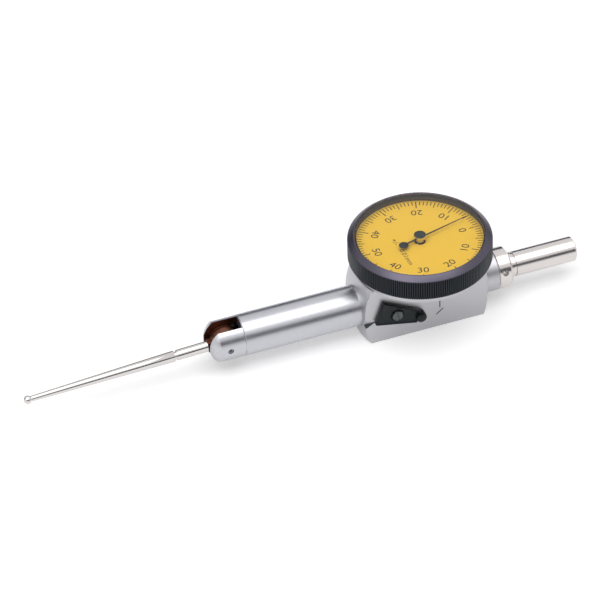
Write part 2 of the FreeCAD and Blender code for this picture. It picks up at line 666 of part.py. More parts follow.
def hairspring_stud():
    """Post on the top bridge that holds the hairspring's outer end."""
    reach = COLLET_R + 2 * FIT + HAIRSPRING_THICKNESS + HAIRSPRING_PITCH * HAIRSPRING_TURNS
    return rod(Z, V(X_DIAL + reach + 0.4, 0, BODY_TOP), 0.4, 0, HAIRSPRING_Z - BODY_TOP + HAIRSPRING_HEIGHT)


# ---------------------------------------------------------------- movement frame
def pillar_places():
    return [V(X_DIAL + sx * PILLAR_SPAN_X, 0, sz * PILLAR_RISE) for sx in (-1, 1) for sz in (-1, 1)]


def movement_plate(side):
    """Upright plate beside the train, with plain bearing holes for the two arbors."""
    low, high = sorted((side * Y_PLATE, side * Y_PLATE_OUT))
    front = X_INPUT - STOP_PIN_R - 0.35
    rear = X_DIAL + PLATE_REAR
    outline = [(front, Z_POCKET), (rear, Z_POCKET), (rear, PLATE_TOP), (front, PLATE_TOP)]
    plate = sheet_y(outline, low, high)
    holes = [rod(Y, place, PIVOT_R + FIT, low - 1, high + 1) for place in (sector_place(), dial_point())]
    if side > 0:
        holes += [rod(Y, place, STOP_PIN_R, low - 1, high + 1) for place in stop_pin_places()]
    else:
        holes += [rod(Y, place, PLATE_BOLT_R, low - 1, high + 1) for place in pillar_places()]
    return plate.cut(holes)


def hexagon(place, radius, y0, y1):
    """A hexagonal bar along Y."""
    corners = [math.radians(60 * i) for i in range(6)]
    return sheet_y([(place.x + radius * math.cos(a), place.z + radius * math.sin(a)) for a in corners], y0, y1)


def plate_pillars():
    """Four hexagonal pillars that hold the plates apart, riveted into the far plate."""
    return [hexagon(place, PILLAR_R, -Y_PLATE, Y_PLATE) for place in pillar_places()]


def plate_screws():
    """Four hexagon-headed screws that hold the near plate on the pillars."""
    return [fused(rod(Y, place, PLATE_BOLT_R, -Y_PLATE_OUT, -Y_PLATE),
                  hexagon(place, PLATE_SCREW_R, -Y_PLATE_OUT - PLATE_SCREW_HEAD, -Y_PLATE_OUT))
            for place in pillar_places()]


def top_bridge():
    """Flat bridge on the plates' upper edges: the centre arbor's upper bearing."""
    plate = block(X_DIAL - BRIDGE_HALF, X_DIAL + BRIDGE_HALF, -Y_PLATE_OUT, Y_PLATE_OUT, PLATE_TOP, BODY_TOP)
    return plate.cut(rod(Z, dial_point(), HUB_BORE_R + FIT, 0, HUB_TOP))


def footstep_bridge():
    """Cock on the near plate that carries the centre arbor's lower pivot."""
    reach = PINION_PITCH_R - MODULE - 0.05
    bar = block(X_DIAL - FOOTSTEP_HALF_X, X_DIAL + FOOTSTEP_HALF_X, -Y_PLATE, reach,
                FOOTSTEP_Z, FOOTSTEP_Z + FOOTSTEP_HEIGHT)
    return bar.cut(rod(Z, dial_point(), PIVOT_R + FIT, 0, HUB_TOP))


def stop_pin_places():
    reach = INPUT_ARM * math.sin(math.radians(INPUT_HALF_SWING)) + ARM_TIP_HEIGHT / 2 + STOP_PIN_R + STOP_GAP
    return [V(X_INPUT, 0, reach), V(X_INPUT, 0, -reach)]


def stop_pins():
    """Two pins on the far plate that end the rocker's swing."""
    return [rod(Y, place, STOP_PIN_R, SLOT_OFFSET - ARM_WIDTH / 2, Y_PLATE_OUT) for place in stop_pin_places()]


# ---------------------------------------------------------------- dial case and bezel
def dial_case():
    """Round shallow case on the body's top flat, with a groove for the bezel's wire."""
    inner = CASE_R - CASE_RIM
    groove = WIRE_HALF + FIT
    outline = [(CASE_OPENING_R, BODY_TOP), (CASE_R, BODY_TOP), (CASE_R, WIRE_Z - groove),
               (CASE_R - groove, WIRE_Z - groove), (CASE_R - groove, WIRE_Z + groove), (CASE_R, WIRE_Z + groove),
               (CASE_R, CASE_TOP), (inner, CASE_TOP), (inner, BODY_TOP + CASE_BASE),
               (CASE_OPENING_R, BODY_TOP + CASE_BASE)]
    case = turned_z(outline, dial_point())
    return case.cut([rod(Z, place, CASE_SCREW_R, -1, CASE_BASE + 1) for place in case_screw_places()])


def case_screws():
    """Four flush screws from the case's floor into the body."""
    return [rod(Z, place, CASE_SCREW_R, -CASE_SCREW_DEPTH, CASE_BASE) for place in case_screw_places()]


def bezel_wire():
    """Snap ring in the case's groove that keeps the bezel down and gives it its drag."""
    mid = CASE_R - FIT
    outline = [(mid - WIRE_HALF, WIRE_Z), (mid, WIRE_Z - WIRE_HALF), (mid + WIRE_HALF, WIRE_Z),
               (mid, WIRE_Z + WIRE_HALF)]
    return turned_z(outline, dial_point())


def bezel_ring():
    """Knurled ring with a coned top, a ledge for the crystal and a bore for the dial and its carrier."""
    groove = WIRE_HALF + BEZEL_FIT
    bore = BEZEL_BORE_R
    outline = [(bore, BEZEL_SKIRT), (BEZEL_R - KNURL_BOTTOM, BEZEL_SKIRT),
               (BEZEL_R, BEZEL_SKIRT + KNURL_BOTTOM), (BEZEL_R, BEZEL_SHOULDER),
               (BEZEL_INNER_R + BEZEL_LIP_WIDTH, BEZEL_LIP), (BEZEL_INNER_R, BEZEL_LIP),
               (BEZEL_INNER_R, LEDGE_TOP), (BEZEL_LEDGE_R, LEDGE_TOP), (BEZEL_LEDGE_R, LEDGE_LOW),
               (bore, LEDGE_LOW), (bore, WIRE_Z + groove), (bore + groove, WIRE_Z + groove),
               (bore + groove, WIRE_Z - groove), (bore, WIRE_Z - groove)]
    return turned_z(outline, dial_point()).cut(knurl_cutter())


def knurl_cutter():
    """All the straight V grooves of the knurled rim as one tool."""
    z0 = BEZEL_SKIRT + KNURL_BOTTOM + FIT
    z1 = BEZEL_SHOULDER - KNURL_MARGIN
    crest = KNURL_CREST / 2
    clear_r = BEZEL_R + BEZEL_FIT
    points = []
    for index in range(KNURLS):
        for radius, turn in ((BEZEL_R - KNURL_DEPTH, 0.0), (clear_r, 0.5 - crest), (clear_r, 0.5 + crest)):
            angle = 2 * math.pi * (index + turn) / KNURLS
            points.append(V(X_DIAL + radius * math.cos(angle), radius * math.sin(angle), z0))
    rim = face_of(points).extrude(V(0, 0, z1 - z0))
    return rod(Z, dial_point(), BEZEL_R + BEZEL_WALL, z0, z1).cut(rim)


def crystal():
    """Domed watch glass with a chamfered edge, pressed in over the gasket."""
    low, high = CRYSTAL_Z, CRYSTAL_Z + CRYSTAL_THICKNESS
    middle = CRYSTAL_R * CRYSTAL_BREAK_SHARE
    rise = CRYSTAL_DOME * (1 - CRYSTAL_BREAK_SHARE ** 2)
    outline = [(CRYSTAL_R, low), (CRYSTAL_R, high - CRYSTAL_BEVEL), (CRYSTAL_R - CRYSTAL_BEVEL, high),
               (middle, high + rise), (0, high + CRYSTAL_DOME), (0, low + CRYSTAL_DOME), (middle, low + rise)]
    return turned_z(outline, dial_point())


def crystal_gasket():
    """Thin ring between the glass and the bezel's ledge."""
    outer = BEZEL_INNER_R - FIT
    ring = rod(Z, dial_point(LEDGE_TOP), outer, 0, GASKET_THICKNESS)
    return ring.cut(rod(Z, dial_point(LEDGE_TOP), outer - GASKET_WIDTH, -1, 1))


def dial_face():
    """Printed dial disc."""
    disc = rod(Z, dial_point(DIAL_TOP), CASE_R, -DIAL_THICKNESS, 0)
    return disc.cut(rod(Z, dial_point(DIAL_TOP), DIAL_HOLE_R, -1, 1))


def dial_carrier():
    """Stiff disc under the dial that turns with the bezel."""
    top = DIAL_TOP - DIAL_THICKNESS
    disc = rod(Z, dial_point(top), CASE_R, -CARRIER_THICKNESS, 0)
    return disc.cut(rod(Z, dial_point(top), CARRIER_HOLE_R, -1, 1))


# ---------------------------------------------------------------- changeover lever
def lever_placed(shape):
    """Turns a lever piece, made pointing along +X, to its angle at rest."""
    turned = shape.copy()
    turned.rotate(V(X_LEVER, 0, LEVER_Z), Y, -LEVER_ANGLE)
    return turned


def lever_outline(inset=0.0):
    return [(X_LEVER - LEVER_TAIL + inset, LEVER_Z - LEVER_TAIL_HALF + inset * 1.2),
            (X_LEVER + LEVER_NOSE, LEVER_Z - LEVER_NOSE_HALF + inset),
            (X_LEVER + LEVER_NOSE, LEVER_Z + LEVER_NOSE_HALF - inset),
            (X_LEVER - LEVER_TAIL + inset, LEVER_Z + LEVER_TAIL_HALF - inset * 1.2)]


def changeover_lever():
    """Fan-shaped lever with a raised rim and a round nub for the fingertip."""
    near = -LEVER_FACE
    face = near - LEVER_THICKNESS
    plate = sheet_y(lever_outline(), face - LEVER_RIM, near)
    hollow = sheet_y(lever_outline(LEVER_RIM), face - 2 * LEVER_RIM, face)
    nub_place = V(X_LEVER + LEVER_NOSE + NUB_R * NUB_OFFSET_SHARE, 0, LEVER_Z)
    nub = rod(Y, nub_place, NUB_R, near - NUB_HEIGHT, near)
    boss = rod(Y, V(X_LEVER, 0, LEVER_Z), LEVER_SCREW_R + LEVER_BOSS_WALL, face, near)
    lever = fused(plate.cut(hollow), nub, boss)
    bore = rod(Y, V(X_LEVER, 0, LEVER_Z), CAM_SHAFT_R, face - LEVER_RIM, near + LEVER_STAND_OFF)
    return lever_placed(lever.cut(bore))


def changeover_cam():
    """Shaft through the body's wall with the cam inside it, screwed to the lever."""
    place = V(X_LEVER, 0, LEVER_Z)
    outer = -LEVER_FACE - LEVER_THICKNESS
    shaft = rod(Y, place, CAM_SHAFT_R, outer, -Y_POCKET)
    cam_low = -Y_POCKET + FIT
    cam = rod(Y, place, CAM_R, cam_low, cam_low + CAM_THICKNESS)
    neck = rod(Y, place, CAM_SHAFT_R, -Y_POCKET - 0.1, cam_low + 0.1)
    flat = CAM_R * 0.8
    detent = block(X_LEVER + flat, X_LEVER + CAM_R + 1, cam_low, cam_low + CAM_THICKNESS, -BODY_R, BODY_R)
    other = detent.copy()
    other.rotate(place, Y, 2 * LEVER_ANGLE)
    return lever_placed(fused(shaft, neck, cam).cut([detent, other]))


def lever_washer():
    """Spring washer between the lever and the body that holds the lever where it is put."""
    place = V(X_LEVER, 0, LEVER_Z)
    ring = rod(Y, place, LEVER_SCREW_R + LEVER_BOSS_WALL, -LEVER_FACE, -BODY_NEAR_FLAT)
    return ring.cut(rod(Y, place, CAM_SHAFT_R + FIT, -BODY_R, 0))


def changeover_screw():
    """Slotted screw that holds the lever on its shaft."""
    place = V(X_LEVER, 0, LEVER_Z)
    face = -LEVER_FACE - LEVER_THICKNESS
    top = face - LEVER_SCREW_HEIGHT
    head = rod(Y, place, LEVER_SCREW_R, top, face)
    half = LEVER_SLOT_WIDTH / 2
    slot = block(X_LEVER - half, X_LEVER + half, top - LEVER_SLOT_DEPTH, top + LEVER_SLOT_DEPTH,
                 LEVER_Z - 2 * LEVER_SCREW_R, LEVER_Z + 2 * LEVER_SCREW_R)
    return head.cut(slot)


def main():
    os.makedirs("parts", exist_ok=True)
    save("housing", housing())
    save("neck_tube", neck_tube())
    save("fork_head", fork_head())
    save("pivot_screws", *pivot_screws())
    save("stem", stem())
    save("rocker_lever", rocker_lever())
    save("rocker_arbor", rocker_arbor())
    save("clutch_washers", *clutch_washers())
    save("clutch_screw", clutch_screw())
    save("stylus_holder", stylus_holder())
    save("stylus", stylus())
    save("stylus_ball", stylus_ball())
    save("sector_gear", sector_gear())
    save("sector_arbor", staff(sector_place()))
    save("input_pin", input_pin())
    save("crown_wheel", crown_wheel())
    save("crown_pinion_arbor", crown_pinion_arbor())
    save("centre_arbor", centre_arbor())
    save("pointer_hub", pointer_hub())
    save("pointer", pointer())
    save("hairspring_collet", hairspring_collet())
    save("hairspring", hairspring())
    save("hairspring_stud", hairspring_stud())
    save("movement_plate_near", movement_plate(-1))
    save("movement_plate_far", movement_plate(1))
    save("plate_pillars", *plate_pillars())
    save("plate_screws", *plate_screws())
    save("top_bridge", top_bridge())
    save("footstep_bridge", footstep_bridge())
    save("stop_pins", *stop_pins())
    save("dial_case", dial_case())
    save("case_screws", *case_screws())
    save("bezel_wire", bezel_wire())
    save("bezel_ring", bezel_ring())
    save("crystal", crystal())
    save("crystal_gasket", crystal_gasket())
    save("dial_face", dial_face())
    save("dial_carrier", dial_carrier())
    save("changeover_lever", changeover_lever())
    save("changeover_cam", changeover_cam())
    save("changeover_screw", changeover_screw())
    save("lever_washer", lever_washer())


main()
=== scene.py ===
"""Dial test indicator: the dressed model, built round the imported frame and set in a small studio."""
import json
import logging
import math
from dataclasses import dataclass, field
from enum import Enum
from typing import Callable, Iterable, Optional, Sequence

import bmesh
import bpy
from mathutils import Matrix, Vector


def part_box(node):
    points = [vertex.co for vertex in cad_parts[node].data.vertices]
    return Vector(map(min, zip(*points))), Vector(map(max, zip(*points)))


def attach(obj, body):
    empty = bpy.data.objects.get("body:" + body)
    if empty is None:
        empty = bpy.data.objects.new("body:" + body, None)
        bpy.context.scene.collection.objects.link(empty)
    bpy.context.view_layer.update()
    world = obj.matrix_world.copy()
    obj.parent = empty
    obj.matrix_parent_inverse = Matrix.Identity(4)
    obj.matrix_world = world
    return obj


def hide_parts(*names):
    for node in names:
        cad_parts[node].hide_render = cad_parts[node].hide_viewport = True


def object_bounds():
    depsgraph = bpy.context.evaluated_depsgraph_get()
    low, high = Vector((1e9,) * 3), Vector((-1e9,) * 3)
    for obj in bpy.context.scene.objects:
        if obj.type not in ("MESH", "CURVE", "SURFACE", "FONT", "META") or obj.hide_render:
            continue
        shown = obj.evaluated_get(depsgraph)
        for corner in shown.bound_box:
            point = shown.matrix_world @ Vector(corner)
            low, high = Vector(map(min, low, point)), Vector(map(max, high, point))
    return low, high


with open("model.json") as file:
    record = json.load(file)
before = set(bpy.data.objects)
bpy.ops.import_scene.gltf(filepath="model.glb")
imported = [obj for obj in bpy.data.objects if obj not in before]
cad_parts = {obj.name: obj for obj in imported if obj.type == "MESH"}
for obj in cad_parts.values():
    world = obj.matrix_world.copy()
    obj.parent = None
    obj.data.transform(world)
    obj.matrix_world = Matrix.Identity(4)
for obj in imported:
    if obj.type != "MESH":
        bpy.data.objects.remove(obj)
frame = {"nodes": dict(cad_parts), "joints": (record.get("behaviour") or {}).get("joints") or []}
CAD_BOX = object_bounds()

LOG = logging.getLogger("indicator")
MM = 0.001
X_AXIS = Vector((1.0, 0.0, 0.0))
Y_AXIS = Vector((0.0, 1.0, 0.0))
Z_AXIS = Vector((0.0, 0.0, 1.0))
ORIGIN = Vector((0.0, 0.0, 0.0))


# ------------------------------------------------------------------ shared helpers
def linear(hex_colour: str) -> tuple[float, float, float, float]:
    """Turns an sRGB hex colour into Blender's linear values.

    Args:
        hex_colour: A colour such as "#fbc64a".

    Returns:
        Linear red, green and blue, with an alpha of 1.
    """
    parts = [int(hex_colour[i:i + 2], 16) / 255.0 for i in (1, 3, 5)]
    red, green, blue = (c / 12.92 if c <= 0.04045 else ((c + 0.055) / 1.055) ** 2.4 for c in parts)
    return (red, green, blue, 1.0)


def joint_named(name: str) -> dict:
    """Finds a joint of the record.

    Args:
        name: The joint's name.

    Returns:
        The joint's entry.
    """
    return next(joint for joint in frame["joints"] if joint["name"] == name)


def corner_mm(node: str) -> tuple[Vector, Vector]:
    """Measures a CAD node.

    Args:
        node: The node's name.

    Returns:
        Its lowest and highest corners in millimetres.
    """
    low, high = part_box(node)
    return Vector(low) / MM, Vector(high) / MM


class Axis(Enum):
    """Direction that a turned piece is spun about."""

    X = "x"
    Y = "y"
    Z = "z"


AXIS_VECTOR = {Axis.X: X_AXIS, Axis.Y: Y_AXIS, Axis.Z: Z_AXIS}
AXIS_START = {Axis.X: Z_AXIS, Axis.Y: Z_AXIS, Axis.Z: X_AXIS}


# ------------------------------------------------------------------ finishes
def add_node(tree: bpy.types.NodeTree, kind: str, settings: Optional[dict] = None,
             inputs: Optional[dict] = None) -> bpy.types.Node:
    """Adds one shader node with its settings and links.

    Args:
        tree: The node tree.
        kind: The node's type name.
        settings: Properties to set on the node.
        inputs: Socket name or index to a value, or to the output socket to link from.

    Returns:
        The new node.
    """
    node = tree.nodes.new(kind)
    for name, value in (settings or {}).items():
        setattr(node, name, value)
    for name, value in (inputs or {}).items():
        if isinstance(value, bpy.types.NodeSocket):
            tree.links.new(value, node.inputs[name])
        else:
            node.inputs[name].default_value = value
    return node


def new_material(name: str) -> tuple[bpy.types.Material, bpy.types.NodeTree, bpy.types.Node]:
    """Makes an empty node material.

    Args:
        name: The material's name.

    Returns:
        The material, its tree and its output node.
    """
    material = bpy.data.materials.new(name)
    material.use_nodes = True
    tree = material.node_tree
    tree.nodes.clear()
    return material, tree, tree.nodes.new("ShaderNodeOutputMaterial")


@dataclass(frozen=True)
class MetalFinish:
    """A metal with a fine surface pattern.

    Attributes:
        name: The material's name.
        colour: sRGB hex colour of its reflection.
        roughness: Middle roughness.
        spread: How far the pattern moves the roughness up and down.
        grain_mm: Size of the pattern, one value along each of X, Y and Z.
        bump: Height of the pattern's bump, in hundredths of a millimetre.
        metallic: Share of metal.
    """

    name: str
    colour: str
    roughness: float
    spread: float = 0.05
    grain_mm: tuple[float, float, float] = (0.2, 0.2, 0.2)
    bump: float = 0.1
    metallic: float = 1.0

    def build(self) -> bpy.types.Material:
        """Builds the material.

        Returns:
            The new material.
        """
        material, tree, output = new_material(self.name)
        where = add_node(tree, "ShaderNodeTexCoord")
        scale = tuple(1.0 / (g * MM) for g in self.grain_mm)
        place = add_node(tree, "ShaderNodeMapping",
                         inputs={"Vector": where.outputs["Object"], "Scale": scale})
        grain = add_node(tree, "ShaderNodeTexNoise", inputs={"Vector": place.outputs[0], "Scale": 1.0,
                                                            "Detail": 3.0, "Roughness": 0.55})
        patch = add_node(tree, "ShaderNodeTexNoise", inputs={"Vector": where.outputs["Object"],
                                                             "Scale": 180.0, "Detail": 2.0})
        both = add_node(tree, "ShaderNodeMath", {"operation": "MULTIPLY"},
                        {0: grain.outputs[0], 1: patch.outputs[0]})
        rough = add_node(tree, "ShaderNodeMapRange", inputs={
            "Value": both.outputs[0], "From Min": 0.05, "From Max": 0.5,
            "To Min": self.roughness - self.spread, "To Max": self.roughness + self.spread})
        bump = add_node(tree, "ShaderNodeBump", inputs={"Strength": self.bump, "Distance": 0.01 * MM,
                                                        "Height": grain.outputs[0]})
        shader = add_node(tree, "ShaderNodeBsdfPrincipled", inputs={
            "Base Color": linear(self.colour), "Metallic": self.metallic, "Roughness": rough.outputs[0],
            "Normal": bump.outputs[0]})
        tree.links.new(shader.outputs[0], output.inputs["Surface"])
        return material


@dataclass(frozen=True)
class PaintFinish:
    """A non-metal coat: lacquer, ink, blackening or rubber.

    Attributes:
        name: The material's name.
        colour: sRGB hex colour.
        roughness: Middle roughness.
        specular: Specular level.
        speck: How much darker the finest specks are.
        speck_mm: Size of the specks in millimetres.
        bump: Strength of the specks' bump.
    """

    name: str
    colour: str
    roughness: float
    specular: float = 0.5
    speck: float = 0.04
    speck_mm: float = 0.12
    bump: float = 0.06

    def build(self) -> bpy.types.Material:
        """Builds the material.

        Returns:
            The new material.
        """
        material, tree, output = new_material(self.name)
        where = add_node(tree, "ShaderNodeTexCoord")
        grain = add_node(tree, "ShaderNodeTexNoise", inputs={
            "Vector": where.outputs["Object"], "Scale": 1.0 / (self.speck_mm * MM), "Detail": 2.0})
        tone = add_node(tree, "ShaderNodeMapRange", inputs={
            "Value": grain.outputs[0], "From Min": 0.3, "From Max": 0.7,
            "To Min": 1.0 - self.speck, "To Max": 1.0})
        colour = add_node(tree, "ShaderNodeMix", {"data_type": "RGBA", "blend_type": "MULTIPLY"},
                          {0: 1.0, 6: linear(self.colour), 7: tone.outputs[0]})
        bump = add_node(tree, "ShaderNodeBump", inputs={"Strength": self.bump, "Distance": 0.02 * MM,
                                                        "Height": grain.outputs[0]})
        shader = add_node(tree, "ShaderNodeBsdfPrincipled", inputs={
            "Base Color": colour.outputs[2], "Roughness": self.roughness, "Specular IOR Level": self.specular,
            "Normal": bump.outputs[0]})
        tree.links.new(shader.outputs[0], output.inputs["Surface"])
        return material


@dataclass(frozen=True)
class GlassFinish:
    """Thin mineral glass that only reflects, so that the dial under it stays in its place.

    Attributes:
        name: The material's name.
        tint: sRGB hex colour of what passes through.
    """

    name: str
    tint: str

    def build(self) -> bpy.types.Material:
        """Builds the material.

        Returns:
            The new material.
        """
        material, tree, output = new_material(self.name)
        fresnel = add_node(tree, "ShaderNodeFresnel", inputs={"IOR": 1.5})
        side = add_node(tree, "ShaderNodeNewGeometry")
        outside = add_node(tree, "ShaderNodeMath", {"operation": "SUBTRACT"},
                           {0: 1.0, 1: side.outputs["Backfacing"]})
        share = add_node(tree, "ShaderNodeMath", {"operation": "MULTIPLY"},
                         {0: fresnel.outputs[0], 1: outside.outputs[0]})
        clear = add_node(tree, "ShaderNodeBsdfTransparent", inputs={"Color": linear(self.tint)})
        gloss = add_node(tree, "ShaderNodeBsdfAnisotropic", inputs={"Roughness": 0.02})
        mix = add_node(tree, "ShaderNodeMixShader",
                       inputs={0: share.outputs[0], 1: clear.outputs[0], 2: gloss.outputs[0]})
        tree.links.new(mix.outputs[0], output.inputs["Surface"])
        return material


class Finish(Enum):
    """Every finish on the instrument, by the stuff that it really is."""

    # Bead-blasted satin chrome on the body: an even pearl grey with a soft broad shine.
    SATIN_BODY = MetalFinish("satin_chrome_body", "#b9b8bc", 0.42, 0.05, (0.10, 0.10, 0.10), 0.16)
    # Turned and satin-chromed tube: fine rings round its axis draw the light out along it.
    SATIN_TUBE = MetalFinish("satin_chrome_tube", "#bcbcc2", 0.30, 0.06, (0.05, 2.0, 2.0), 0.10)
    # Ground and polished hardened steel: clear narrow highlights.
    POLISHED = MetalFinish("polished_steel", "#cfcbc9", 0.13, 0.04, (0.06, 1.5, 1.5), 0.05)
    # Polished nickel of the collar and stem, slightly warm.
    STEM = MetalFinish("polished_nickel_stem", "#d2cdcb", 0.20, 0.05, (0.05, 2.0, 2.0), 0.08)
    # Heat-browned steel of the rocker and the slot's walls.
    BRONZED = MetalFinish("browned_steel", "#7c5646", 0.34, 0.08, (0.15, 0.15, 0.15), 0.12)
    # Brass of the movement's plates and wheels.
    BRASS = MetalFinish("turned_brass", "#c8a45c", 0.30, 0.08, (0.3, 0.06, 0.3), 0.10)
    # Ground steel of screws and arbors.
    GROUND = MetalFinish("ground_steel", "#8e8e92", 0.30, 0.06, (0.08, 0.4, 0.4), 0.08)
    # Black anodised bezel: dark, with a satin shine; the slightly purple shine where it is smooth is painted
    # sheen in the cone's colour below.
    BLACK_ANODISED = MetalFinish("black_anodised_rim", "#2b2f34", 0.40, 0.06, (0.08, 0.08, 0.08), 0.10, 0.75)
    # Fine-turned black anodised cone on the bezel's top: a little shinier, and its lighter grey colour is
    # painted sheen.
    ANODISED_CONE = MetalFinish("turned_anodised_cone_painted_sheen", "#56525e", 0.34, 0.05, (0.3, 0.3, 0.03), 0.08, 0.9)
    # Blackened steel of the lever, screw and pointer: dull, nearly without colour.
    BLACKENED = MetalFinish("blackened_steel", "#23282a", 0.38, 0.07, (0.12, 0.12, 0.12), 0.14, 0.7)
    # Dark grey screw head, worn a little lighter.
    SCREW_GREY = MetalFinish("worn_dark_screw", "#5a5e60", 0.36, 0.08, (0.06, 0.5, 0.5), 0.12, 0.85)
    # Thin semi-matt lacquer on the printed dial.
    DIAL_YELLOW = PaintFinish("yellow_dial_lacquer", "#ffc83c", 0.55, 0.2, 0.02, 0.3, 0.02)
    # Printing ink on the dial: dull brown-black.
    INK = PaintFinish("dial_printing_ink", "#2a2417", 0.6, 0.3, 0.06, 0.1, 0.03)
    # Paint run into the engraved marks.
    ENGRAVED = PaintFinish("engraving_paint", "#34363a", 0.6, 0.3, 0.08, 0.1, 0.05)
    # Rubber seal under the glass.
    RUBBER = PaintFinish("seal_rubber", "#191919", 0.7, 0.3, 0.1, 0.08, 0.15)
    CRYSTAL = GlassFinish("mineral_glass", "#fafcfb")


_BUILT: dict[Finish, bpy.types.Material] = {}


def material_of(finish: Finish) -> bpy.types.Material:
    """Gives a finish's material, built on its first use.

    Args:
        finish: The finish.

    Returns:
        The material.
    """
    if finish not in _BUILT:
        _BUILT[finish] = finish.value.build()
    return _BUILT[finish]


# ------------------------------------------------------------------ mesh helpers
def lathe(profile: Sequence[tuple[float, float]], axis: Axis, centre: Vector,
          steps: int = 96) -> bmesh.types.BMesh:
    """Spins a closed profile into a turned piece.

    Args:
        profile: (place along the axis, radius) points in millimetres, measured from the centre.
        axis: The axis of the turning.
        centre: A point on that axis, in millimetres.
        steps: Faces round the piece.

    Returns:
        A closed mesh in metres.
    """
    mesh = bmesh.new()
    along, out = AXIS_VECTOR[axis], AXIS_START[axis]
    verts = [mesh.verts.new((centre + along * place + out * radius) * MM) for place, radius in profile]
    edges = [mesh.edges.new((verts[i], verts[i + 1])) for i in range(len(verts) - 1)]
    if profile[0][1] > 1e-6 and profile[-1][1] > 1e-6:
        edges.append(mesh.edges.new((verts[-1], verts[0])))
    bmesh.ops.spin(mesh, geom=verts + edges, cent=centre * MM, axis=along, angle=2 * math.pi,
                   steps=steps, use_merge=True, use_duplicate=False)
    bmesh.ops.remove_doubles(mesh, verts=mesh.verts, dist=1e-8)
    bmesh.ops.recalc_face_normals(mesh, faces=mesh.faces)
    return mesh


def block(low: Sequence[float], high: Sequence[float], bevel: float = 0.0,
          segments: int = 2) -> bmesh.types.BMesh:
    """Makes a box between two corners in millimetres, with its edges rounded.

    Args:
        low: Lowest corner.
        high: Highest corner.
        bevel: Edge radius in millimetres, or 0 for sharp edges.
        segments: Faces across each rounded edge.

    Returns:
        A closed mesh in metres.
    """
    mesh = bmesh.new()
    low_v, high_v = Vector(low), Vector(high)
    bmesh.ops.create_cube(mesh, size=1.0)
    bmesh.ops.scale(mesh, vec=(high_v - low_v) * MM, verts=mesh.verts)
    bmesh.ops.translate(mesh, vec=(high_v + low_v) / 2 * MM, verts=mesh.verts)
    if bevel > 0:
        bmesh.ops.bevel(mesh, geom=mesh.edges[:], offset=bevel * MM, affect="EDGES", segments=segments,
                        profile=0.5, material=-1)
    return mesh


def prism(outline: Sequence[tuple[float, float]], place: Callable[[float, float], Vector],
          depth: Vector) -> bmesh.types.BMesh:
    """Extrudes a flat outline into a plate.

    Args:
        outline: 2-D points in millimetres.
        place: Turns a 2-D point into a 3-D point in millimetres.
        depth: The extrusion in millimetres.

    Returns:
        A closed mesh in metres.
    """
    mesh = bmesh.new()
    face = mesh.faces.new([mesh.verts.new(place(u, v) * MM) for u, v in outline])
    grown = bmesh.ops.extrude_face_region(mesh, geom=[face])
    moved = [item for item in grown["geom"] if isinstance(item, bmesh.types.BMVert)]
    bmesh.ops.translate(mesh, vec=depth * MM, verts=moved)
    bmesh.ops.recalc_face_normals(mesh, faces=mesh.faces)
    return mesh


def join(*meshes: bmesh.types.BMesh) -> bmesh.types.BMesh:
    """Puts several meshes into the first.

    Args:
        meshes: The meshes; all but the first are freed.

    Returns:
        The first mesh.
    """
    first = meshes[0]
    for other in meshes[1:]:
        scratch = bpy.data.meshes.new("scratch")
        other.to_mesh(scratch)
        first.from_mesh(scratch)
        bpy.data.meshes.remove(scratch)
        other.free()
    return first


def sliced(mesh: bmesh.types.BMesh, point: Vector, normal: Vector) -> bmesh.types.BMesh:
    """Cuts away all that lies beyond a plane and closes the cut.

    Args:
        mesh: The closed mesh, which is changed.
        point: A point on the plane, in millimetres.
        normal: The direction that is cut away.

    Returns:
        The same mesh.
    """
    cut = bmesh.ops.bisect_plane(mesh, geom=mesh.verts[:] + mesh.edges[:] + mesh.faces[:], dist=1e-7,
                                 plane_co=point * MM, plane_no=normal, clear_outer=True, clear_inner=False)
    edges = [item for item in cut["geom_cut"] if isinstance(item, bmesh.types.BMEdge)]
    bmesh.ops.holes_fill(mesh, edges=edges, sides=0)
    return mesh


def piece(name: str, mesh: bmesh.types.BMesh, body: str, finish: Finish, node: Optional[str] = None,
          sharp: float = 30.0) -> bpy.types.Object:
    """Turns a mesh into a finished piece that rides on its body.

    Args:
        name: The piece's name.
        mesh: The mesh in metres, which is freed.
        body: The body that it moves with.
        finish: Its finish.
        node: The CAD node that it stands for, if any.
        sharp: Edges that turn more than this many degrees stay sharp.

    Returns:
        The new object.
    """
    data = bpy.data.meshes.new(name)
    mesh.to_mesh(data)
    mesh.free()
    obj = bpy.data.objects.new(name, data)
    bpy.context.scene.collection.objects.link(obj)
    data.shade_smooth()
    data.set_sharp_from_angle(angle=math.radians(sharp))
    data.materials.append(material_of(finish))
    if node:
        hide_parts(node)
    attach(obj, body)
    LOG.info("built %s with %d faces", name, len(data.polygons))
    return obj


def carved(obj: bpy.types.Object, cutters: Iterable[bmesh.types.BMesh],
           solver: str = "EXACT") -> bpy.types.Object:
    """Cuts shapes out of a piece and leaves no modifier on it.

    Args:
        obj: The piece.
        cutters: Closed meshes in metres, which are freed.
        solver: The Boolean modifier's solver.

    Returns:
        The same piece.
    """
    for cutter in cutters:
        bmesh.ops.recalc_face_normals(cutter, faces=cutter.faces)
        data = bpy.data.meshes.new("cutter")
        cutter.to_mesh(data)
        cutter.free()
        data.materials.append(obj.data.materials[0])
        tool = bpy.data.objects.new("cutter", data)
        bpy.context.scene.collection.objects.link(tool)
        modifier = obj.modifiers.new("cut", "BOOLEAN")
        modifier.operation = "DIFFERENCE"
        modifier.solver = solver
        modifier.object = tool
        with bpy.context.temp_override(object=obj, active_object=obj):
            bpy.ops.object.modifier_apply(modifier=modifier.name)
        bpy.data.objects.remove(tool)
        bpy.data.meshes.remove(data)
    obj.data.shade_smooth()
    obj.data.set_sharp_from_angle(angle=math.radians(24.0))
    return obj


